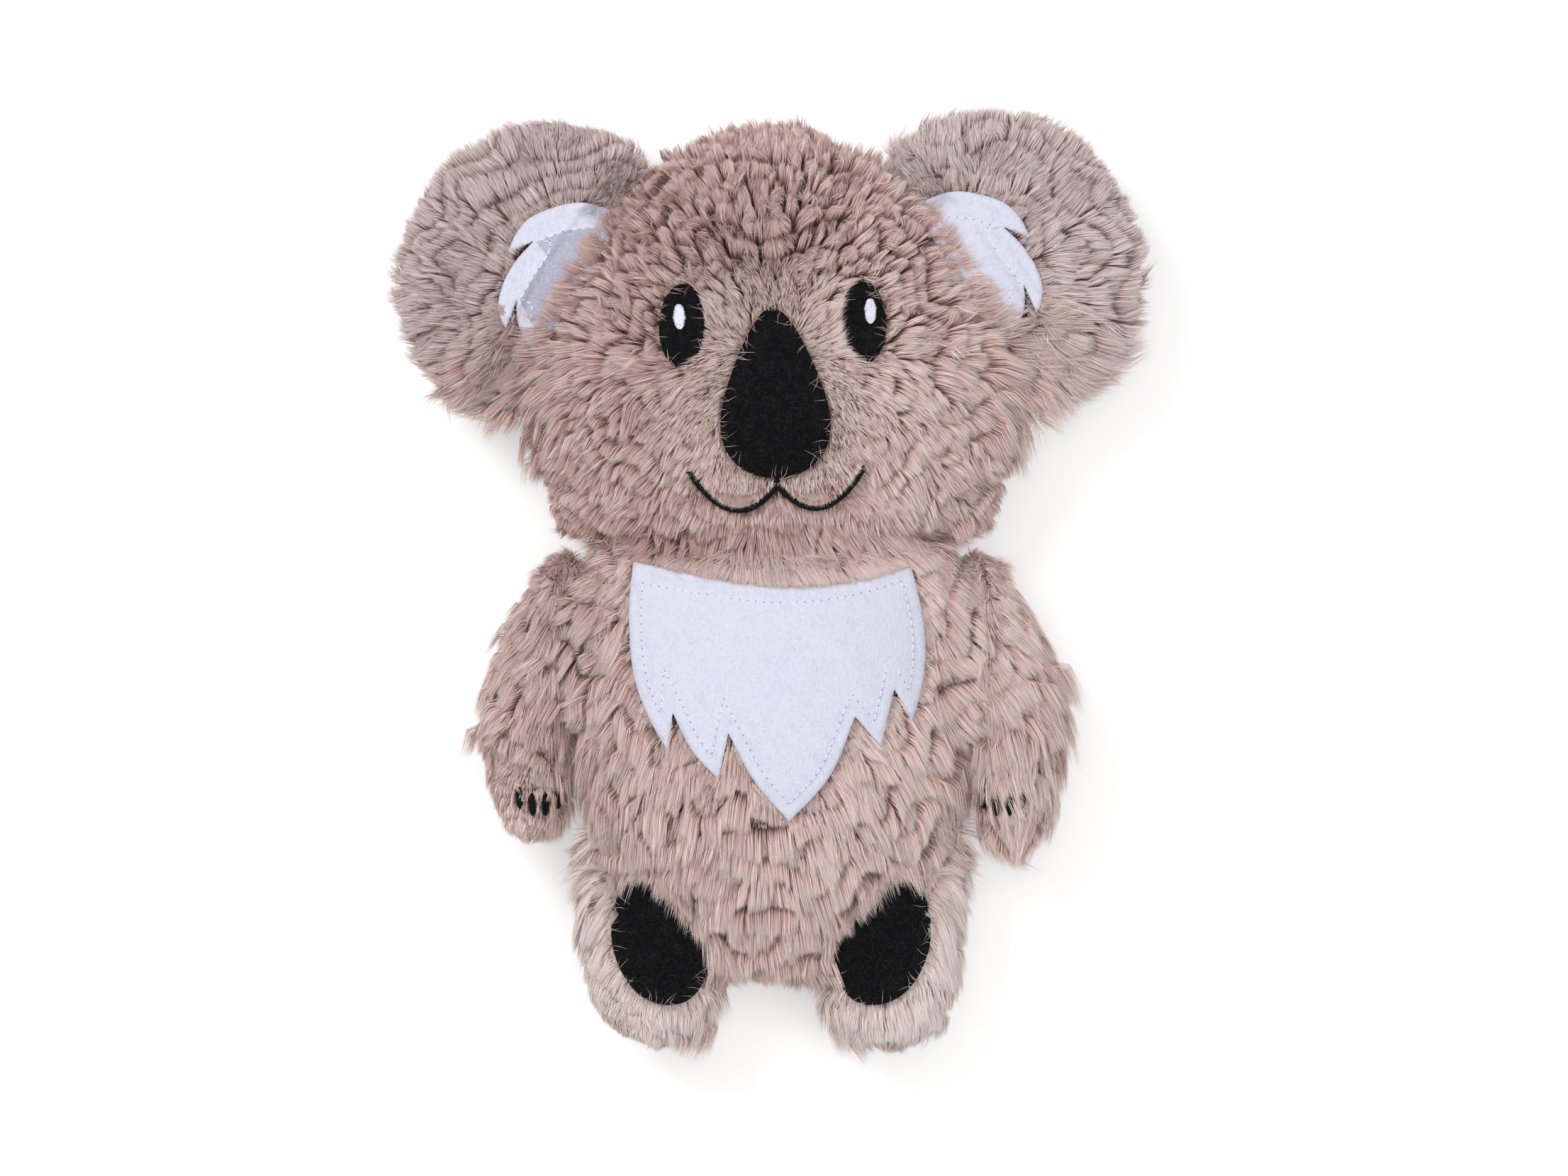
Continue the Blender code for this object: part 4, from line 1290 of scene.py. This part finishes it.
def stray_hairs(name, skin, outline, count, material, place):
    """Single pale hairs of the fur around a felt that lie over its edge."""
    line = evenly(outline, 0.5 * MM)
    index = rng.integers(len(line), size=count)
    ahead = unit(np.roll(line, -1, axis=0) - np.roll(line, 1, axis=0))[index]
    inward = quarter_turn(ahead)
    inward *= np.where(distance_to(line[index] + inward * MM, outline) < 0, 1, -1)[:, None]
    turn = rng.normal(size=(count, 1)) * 0.9
    way = inward * np.cos(turn) + ahead * np.sin(turn)
    long = rng.uniform(2.5, 8.0, (count, 1)) * MM
    first = line[index] - inward * 1.2 * MM
    halfway = first + way * long * 0.5
    last = first + way * long + ahead * rng.normal(size=(count, 1)) * 1.2 * MM
    ends = []
    for spots, lift in ((first, -0.6 * MM), (halfway, 0.6 * MM), (last, 0.2 * MM)):
        ends.append(over(skin, spots, FELT + lift))
        ends[-1][:, 2] += rng.random(count) * 0.8 * MM
    side = unit(np.cross(UP, ends[2] - ends[0]))
    widths, shades = rng.uniform(0.06, 0.12, count) * MM, rng.uniform(0.5, 0.95, count)
    made = ribbons(name, *ends, side, widths, shades, material)
    place(made)


def threads(name, starts, ends, radius, material, place):
    """Short rounded threads, each a six-sided bar that narrows at both ends."""
    along = unit(ends - starts)
    side = unit(np.cross(along, UP))
    up = np.cross(side, along)
    rings = ((0.0, 0.35), (0.18, 1.0), (0.82, 1.0), (1.0, 0.35))
    sides = 6
    points = []
    for share, size in rings:
        middle = starts * (1 - share) + ends * share
        for step in range(sides):
            angle = 2 * math.pi * step / sides
            spoke = side * math.cos(angle) + up * math.sin(angle)
            points.append(middle + spoke * radius * size)
    points = np.stack(points, axis=1).reshape(-1, 3)
    faces = []
    per = sides * len(rings)
    for base in range(0, len(starts) * per, per):
        for ring in range(len(rings) - 1):
            for step in range(sides):
                a = base + ring * sides + step
                b = base + ring * sides + (step + 1) % sides
                faces.append((a, b, b + sides, a + sides))
        faces.append(tuple(base + step for step in reversed(range(sides))))
        faces.append(tuple(base + per - sides + step for step in range(sides)))
    made = new_object(name, mesh_from(name, points, faces), material)
    place(made)
    return made


def stitched_line(name, skin, line, material, place, closed):
    """A running line of stitches pressed into the felt."""
    marks = evenly(line, STITCH_PITCH, closed)
    after = np.roll(marks, -1, axis=0)
    near = np.linalg.norm(after - marks, axis=1) < 1.8 * STITCH_PITCH
    marks, after = marks[near], after[near]
    gap = (1 - STITCH_SHARE) / 2
    first = over(skin, marks * (1 - gap) + after * gap, FELT - STITCH_DEPTH)
    last = over(skin, marks * gap + after * (1 - gap), FELT - STITCH_DEPTH)
    threads(name, first, last, STITCH_RADIUS, material, place)


# Dark discs at the stitch marks: painted shade of the needle holes in the felt
def needle_holes(name, skin, line, place, closed):
    marks = over(skin, evenly(line, STITCH_PITCH, closed), FELT + HOLE_LIFT)
    angle = np.arange(6) * math.pi / 3
    rim = np.stack([np.cos(angle), np.sin(angle), np.zeros(6)], axis=1) * HOLE_RADIUS
    points = (marks[:, None] + rim).reshape(-1, 3)
    faces = [tuple(range(base, base + 6)) for base in range(0, len(points), 6)]
    place(new_object(name, mesh_from(name, points, faces, smooth=False), HOLE_SHADE))


def satin_oval(name, skin, size, centre, turn, side, lift, material, place, lean=None):
    """Parallel threads laid across an oval, the longest at its middle."""
    rows = np.arange(-size[1] / 2 + SATIN_PITCH / 2, size[1] / 2, SATIN_PITCH)
    half = size[0] / 2 * np.sqrt(1 - (rows / (size[1] / 2)) ** 2)
    half = half * rng.uniform(0.9, 1.08, len(rows)) + 0.15 * MM
    ends = []
    for sign in (-1, 1):
        spots = np.stack([sign * half, rows + sign * 0.12 * MM], axis=1)
        spots = (turned(spots, turn) + centre) * (side, 1)
        ends.append(over(skin, lean(spots) if lean else spots, lift))
    return threads(name, *ends, SATIN_PITCH * 0.62, material, place)


def embroidered_line(name, skin, line, place):
    """Slanting satin stitches close together along a line."""
    marks = evenly(line, MOUTH_PITCH, closed=False)
    ahead = unit(np.gradient(marks, axis=0))
    slant = quarter_turn(ahead) * 0.9 + ahead * 0.45
    slant = slant * (MOUTH_THREAD / 2 * rng.uniform(0.85, 1.15, (len(marks), 1)))
    ends = [over(skin, marks + sign * slant, EMBROIDERY_LIFT) for sign in (-1, 1)]
    return threads(name, *ends, 0.48 * MM, BLACK_THREAD, place)


def add_felt(
    node, skin, outline, place, fibres, faces=None, spacing=1.4 * MM, groove=4.2 * MM,
    fold=None, seam=None, hairs=None, stitches=None, closed=True,
):
    """A felt piece, black unless its faces are given, with all that lies on it.

    The hairs are a count and the pile that they come from.
    """
    if faces is None:
        colour, faces, thread = "black_felt", (BLACK_FELT, BLACK_FELT), BLACK_THREAD
        loose = (0.35, 0.08 * MM, BLACK_FUZZ)
    else:
        colour, thread, loose = "white_felt", WHITE_THREAD, (0.5, 0.09 * MM, WHITE_FUZZ)
    made = felt_piece(
        node + "_felt", skin, outline, faces, place, spacing, groove, fold, seam
    )
    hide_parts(node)
    fuzz(node + "_fuzz", skin, outline, fibres, *loose, place)
    if hairs is not None:
        stray_hairs(node + "_stray_hairs", skin, outline, *hairs, place)
    if stitches is not None:
        stitched_line(node + "_stitching", skin, stitches, thread, place, closed)
    if stitches is not None and colour == "white_felt":
        needle_holes(node + "_needle_holes", skin, stitches, place, closed)


def add_bib(bib):
    add_felt(
        "chest_bib", trees["torso"], bib, riding("torso"), 5000, (WHITE_FELT, FELT_EDGE),
        spacing=1.6 * MM, stitches=bib_stitches(bib),
    )


def add_eye(side_name, side, outline):
    add_felt(
        side_name + "_eye", trees["head"], outline, riding("head"), 700,
        spacing=1.2 * MM, groove=3.2 * MM, hairs=(34, BODY_PILE),
    )
    x, y = eye_centre(side)
    shine = (
        x + GLINT_SIZE[0] * 0.48 + side * GLINT_SHIFT, y + GLINT_SIZE[1] * 0.48 - GLINT_SHIFT
    )
    glint = satin_oval(
        side_name + "_eye_glint_threads", trees["head"], GLINT_SIZE, shine, 0, side, GLINT_LIFT,
        WHITE_THREAD, riding("head"), lean=on_head,
    )
    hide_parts(side_name + "_eye_glint")


def add_inner_ear(side_name, side, outline):
    """The right ear's felt has painted shade between its fold and the head."""
    body = side_name + "_ear"
    skin, place = across[body]
    face = WHITE_FELT if side == LEFT else SHADED_FELT
    add_felt(
        side_name + "_inner_ear", skin, outline, place, 1200, (face, FELT_EDGE, WHITE_FELT),
        fold=inner_ear_fold(side), seam=seam_line(joints[body + "_fold"], EAR_SEAM_INSET),
        stitches=inner_ear_stitches(side), closed=False,
    )


def add_foot_pad(side_name, outline):
    body = side_name + "_leg"
    skin, place = across[body]
    add_felt(
        side_name + "_foot_pad", skin, outline, place, 2200, hairs=(70, LEG_PILE),
        seam=seam_line(joints[body + "_fold"], PAD_SEAM_INSET),
        stitches=inset_line(outline, BLACK_INSET),
    )


def add_claws(side_name, side):
    body = side_name + "_arm"
    for index, (centre, turn) in enumerate(claw_places(side), 1):
        spot = (centre[0] + side * NECK[0], centre[1])
        claw = satin_oval(
            f"{side_name}_claw_{index}_threads", trees[body], CLAW_SIZE, spot, turn, side,
            EMBROIDERY_LIFT, BLACK_THREAD, riding(body),
        )
        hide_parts(f"{side_name}_claw_{index}")


def add_nose(nose):
    add_felt(
        "nose", trees["head"], nose, riding("head"), 2600, hairs=(90, BODY_PILE),
        stitches=inset_line(nose, BLACK_INSET),
    )


def add_mouth(smile):
    mouth = embroidered_line("mouth_threads", trees["head"], smile, riding("head"))
    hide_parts("mouth_stitching")
    middle = smile[len(smile) // 2]
    stem = np.array([middle, middle + (0, MOUTH_STEM)])
    embroidered_line("mouth_stem_threads", trees["head"], stem, riding("head"))


# How far the fur laps over each piece


def even_lap(length):
    return lambda p: np.full(len(p), length)


def bib_lap(p):
    """The fur of the chest falls over the bib's top edge, but not over its corners."""
    x = np.abs(p[:, 0] - NECK[0] - BIB_PLACE[0])
    top = (p[:, 1] > NECK[1] + BIB_PLACE[1] - 0.014) * smoothstep(0.052, 0.030, x)
    return (1.2 + 1.6 * top) * MM


def eye_lap(p):
    """Fur hides the lower ends of the eyes, and the side of each that is nearer to the right."""
    x = p[:, 0] - HEAD_MIDDLE[0]
    side = np.where(x > 0, x < EYE_SPACING / 2 - 2 * MM, x < -EYE_SPACING / 2 - 2 * MM)
    low = p[:, 1] < NECK[1] + EYE_RISE - 12 * MM
    return np.where(side | low, 3.5, 0.8) * MM


def pad_lap(p):
    """The belly's fur falls furthest over the upper end of the foot pads."""
    return (4 + 3 * smoothstep(-0.140, -0.120, p[:, 1])) * MM


def seam_line(joint, inside):
    """A line beside a joint's axis, this far inside it, and the way outwards."""
    outward = np.cross(UP, joint["axis"])[:2]
    return np.array(joint["pos_m"])[:2] - outward * inside, outward


def clearings():
    """What the pile of each body and seam stays off."""
    narrow, ear_lap = even_lap(1.4 * MM), even_lap(7 * MM)
    below_top = (nose[nose[:, 1].argmax()] - (0, 3.2 * MM), np.array([0, -1]))
    made = {
        "torso": [Clearing(bib, bib_lap)],
        "head": [
            Clearing(nose, even_lap(2.4 * MM), below_top),
            Clearing(mouth_ribbon(smile), narrow),
            Clearing(eyes[LEFT], eye_lap),
            Clearing(eyes[RIGHT], eye_lap),
        ],
    }
    made["head_seam"] = made["head"] + made["torso"]
    for side_name, side in SIDES.items():
        ear, leg = side_name + "_ear", side_name + "_leg"
        ear_seam = seam_line(joints[ear + "_fold"], EAR_SEAM_INSET)
        leg_seam = seam_line(joints[leg + "_fold"], PAD_SEAM_INSET)
        made[ear] = [Clearing(inner_ears[side], narrow)]
        made[ear + "_seam"] = [Clearing(inner_ears[side], ear_lap, ear_seam)]
        made[leg] = [Clearing(pads[side], narrow)]
        made[leg + "_seam"] = [Clearing(pads[side], pad_lap, leg_seam)]
        made["head"] += made[ear + "_seam"]
        made["torso"] += made[leg + "_seam"]
        made[side_name + "_arm"] = [
            Clearing(oval(CLAW_SIZE, centre, turn, side) + (NECK[0], 0), narrow)
            for centre, turn in claw_places(side)
        ]
    return made


def cover_body(body, kind):
    backing(body, (4.0 if kind in ("torso", "head") else 2.4) * MM)
    pile = {"ear": EAR_PILE, "leg": LEG_PILE}.get(kind, BODY_PILE)
    forms = [trees["torso"]] if body == "torso" else ()
    grow(body, skins[body], lays[body], STYLES[kind], pile, felts[body], riding(body), forms)


def cover_seam(joint):
    """Backing and pile that fill the bend of a seam, fixed in place. Felt that crosses it lies on
    both forms.
    """
    parent, child = joint["parent"], joint["child"]
    larger, smaller = trees[parent], trees[child]
    name = joint["name"].replace("_fold", "").replace("_nod", "") + "_seam"
    place = across_joint()
    mesh = crossing(joint, larger, smaller, 4.5 * MM, name + "_backing")
    shade_smooth(mesh)
    strip = new_object(name + "_backing", mesh, BACKING)
    place(strip)
    skin = crossing(joint, larger, smaller, 0.0, name + "_skin")
    across[child] = (tree_of(skins[child], skin), place)
    style = STYLES["neck" if child == "head" else kinds[parent]]
    forms = [larger, smaller, tree_of(skin)] if child == "head" else ()
    grow(name, skin, lays[parent], style, BODY_PILE, felts.get(name, []), place, forms)


# Studio


def make_camera():
    data = bpy.data.cameras.new("camera")
    data.lens = CAMERA_LENS
    data.sensor_width = CAMERA_SENSOR
    camera = bpy.data.objects.new("camera", data)
    camera.location = CAMERA_PLACE
    bpy.context.scene.collection.objects.link(camera)
    bpy.context.scene.camera = camera


def math_node(tree, operation, first, second):
    node = tree.nodes.new("ShaderNodeMath")
    node.operation = operation
    tree.links.new(first, node.inputs[0])
    if isinstance(second, float):
        node.inputs[1].default_value = second
    else:
        tree.links.new(second, node.inputs[1])
    return node.outputs[0]


def make_floor():
    """A white table that the camera sees a little brighter than it is lit."""
    corners = [(x * FLOOR_HALF, y * FLOOR_HALF, 0) for x, y in ((-1, -1), (1, -1), (1, 1), (-1, 1))]
    material, tree, shader = new_material("white_table", 0.9)
    shader.inputs["Base Color"].default_value = (0.85, 0.85, 0.85, 1)
    shader.inputs["Specular IOR Level"].default_value = 0.1
    shader.inputs["Emission Color"].default_value = (1, 1, 1, 1)
    path = tree.nodes.new("ShaderNodeLightPath")
    seen = path.outputs["Is Camera Ray"]
    for kind in ("Is Glossy Ray", "Is Transmission Ray"):
        seen = math_node(tree, "MAXIMUM", seen, path.outputs[kind])
    glow = math_node(tree, "MULTIPLY", seen, FLOOR_GLOW)
    tree.links.new(glow, shader.inputs["Emission Strength"])
    mesh = mesh_from("floor", corners, [(0, 1, 2, 3)], smooth=False)
    new_object("floor", mesh, material)


def make_light():
    world = bpy.data.worlds.new("studio")
    bpy.context.scene.world = world
    world.use_nodes = True
    background = world.node_tree.nodes["Background"]
    background.inputs["Color"].default_value = (1, 1, 1, 1)
    background.inputs["Strength"].default_value = WORLD_STRENGTH
    for name, (place, size, power) in LAMPS.items():
        data = bpy.data.lights.new(name, "AREA")
        data.shape = "DISK"
        data.size = size
        data.energy = power
        lamp = bpy.data.objects.new(name, data)
        lamp.location = place
        lamp.rotation_euler = (Vector(LAMP_AIM) - Vector(place)).to_track_quat("-Z", "Y").to_euler()
        bpy.context.scene.collection.objects.link(lamp)


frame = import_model()
bpy.context.scene.view_settings.view_transform = "Standard"
make_camera()
make_floor()
make_light()

# In each pile the dark root colours are partly the fibre's own and partly painted shade between the
# fibres
BODY_PILE = pile_material(
    "body_pile",
    dark=((90, 52, 46), (184, 141, 134), (230, 198, 192)),
    pale=((155, 112, 105), (254, 225, 218), (255, 246, 241)),
)
LEG_PILE = pile_material(
    "leg_pile",
    dark=((156, 118, 112), (232, 196, 191), (248, 222, 218)),
    pale=((216, 182, 177), (255, 238, 234), (255, 248, 245)),
)
EAR_PILE = pile_material(
    "ear_pile",
    dark=((92, 62, 58), (176, 143, 139), (220, 196, 194)),
    pale=((150, 118, 114), (246, 226, 223), (255, 248, 247)),
)
WHITE_FUZZ = pile_material(
    "white_fuzz",
    dark=((212, 214, 230), (222, 224, 240)),
    pale=((230, 232, 246), (244, 245, 255)),
    roughness=0.9,
)
BLACK_FUZZ = pile_material(
    "black_fuzz",
    dark=((8, 8, 10), (18, 18, 21)),
    pale=((24, 24, 27), (70, 68, 69)),
    roughness=0.8,
    sheen=0.05,
)
BACKING = backing_material()
WHITE_FELT = felt_material("white_felt", (222, 224, 240), (232, 234, 249), 0.5 * MM)
# Painted shade: a greyer copy of the white felt for the shaded middle of the right inner ear
SHADED_FELT = felt_material("shaded_felt", (180, 181, 202), (196, 197, 216), 0.5 * MM)
FELT_EDGE = felt_material("white_felt_edge", (196, 186, 178), (214, 206, 200), 0.2 * MM)
BLACK_FELT = felt_material("black_felt", (9, 9, 11), (18, 18, 20), 0.25 * MM, sheen=0.02)
WHITE_THREAD = thread_material("white_thread", (232, 231, 250), (250, 249, 255), 0.5, 0.4)
BLACK_THREAD = thread_material("black_thread", (9, 10, 12), (20, 21, 24), 0.6, 0.15)
# Painted shade of the needle holes, a bluish grey darker than the white felt
HOLE_SHADE = thread_material("needle_holes", (132, 135, 182), (162, 165, 208), 0.9, 0.1)

joints = {joint["name"]: joint for joint in frame["record"]["behaviour"]["joints"]}
kinds = {"torso": "torso", "head": "head"}
lays = {"torso": torso_lay, "head": head_lay}
for side_name, side in SIDES.items():
    root = joints[side_name + "_ear_fold"]["pos_m"]
    lays[side_name + "_ear"] = ear_lay((root[0] - side * 0.012, root[1] - 0.006))
    lays[side_name + "_arm"] = arm_lay(side)
    lays[side_name + "_leg"] = leg_lay(side)
    for kind in ("ear", "arm", "leg"):
        kinds[f"{side_name}_{kind}"] = kind
skins = {body: outer_skin(body) for body in kinds}
trees = {body: tree_of(skin) for body, skin in skins.items()}

bib = bib_outline()
nose = nose_outline()
smile = mouth_line()
eyes = {side: eye_outline(side) for side in SIDES.values()}
inner_ears = {side: inner_ear_outline(side) for side in SIDES.values()}
pads = {side: pad_outline(side) for side in SIDES.values()}
felts = clearings()

across = {}
for body, kind in kinds.items():
    cover_body(body, kind)
for joint in joints.values():
    cover_seam(joint)

add_bib(bib)
for side_name, side in SIDES.items():
    add_eye(side_name, side, eyes[side])
    add_inner_ear(side_name, side, inner_ears[side])
    add_foot_pad(side_name, pads[side])
    add_claws(side_name, side)
add_nose(nose)
add_mouth(smile)
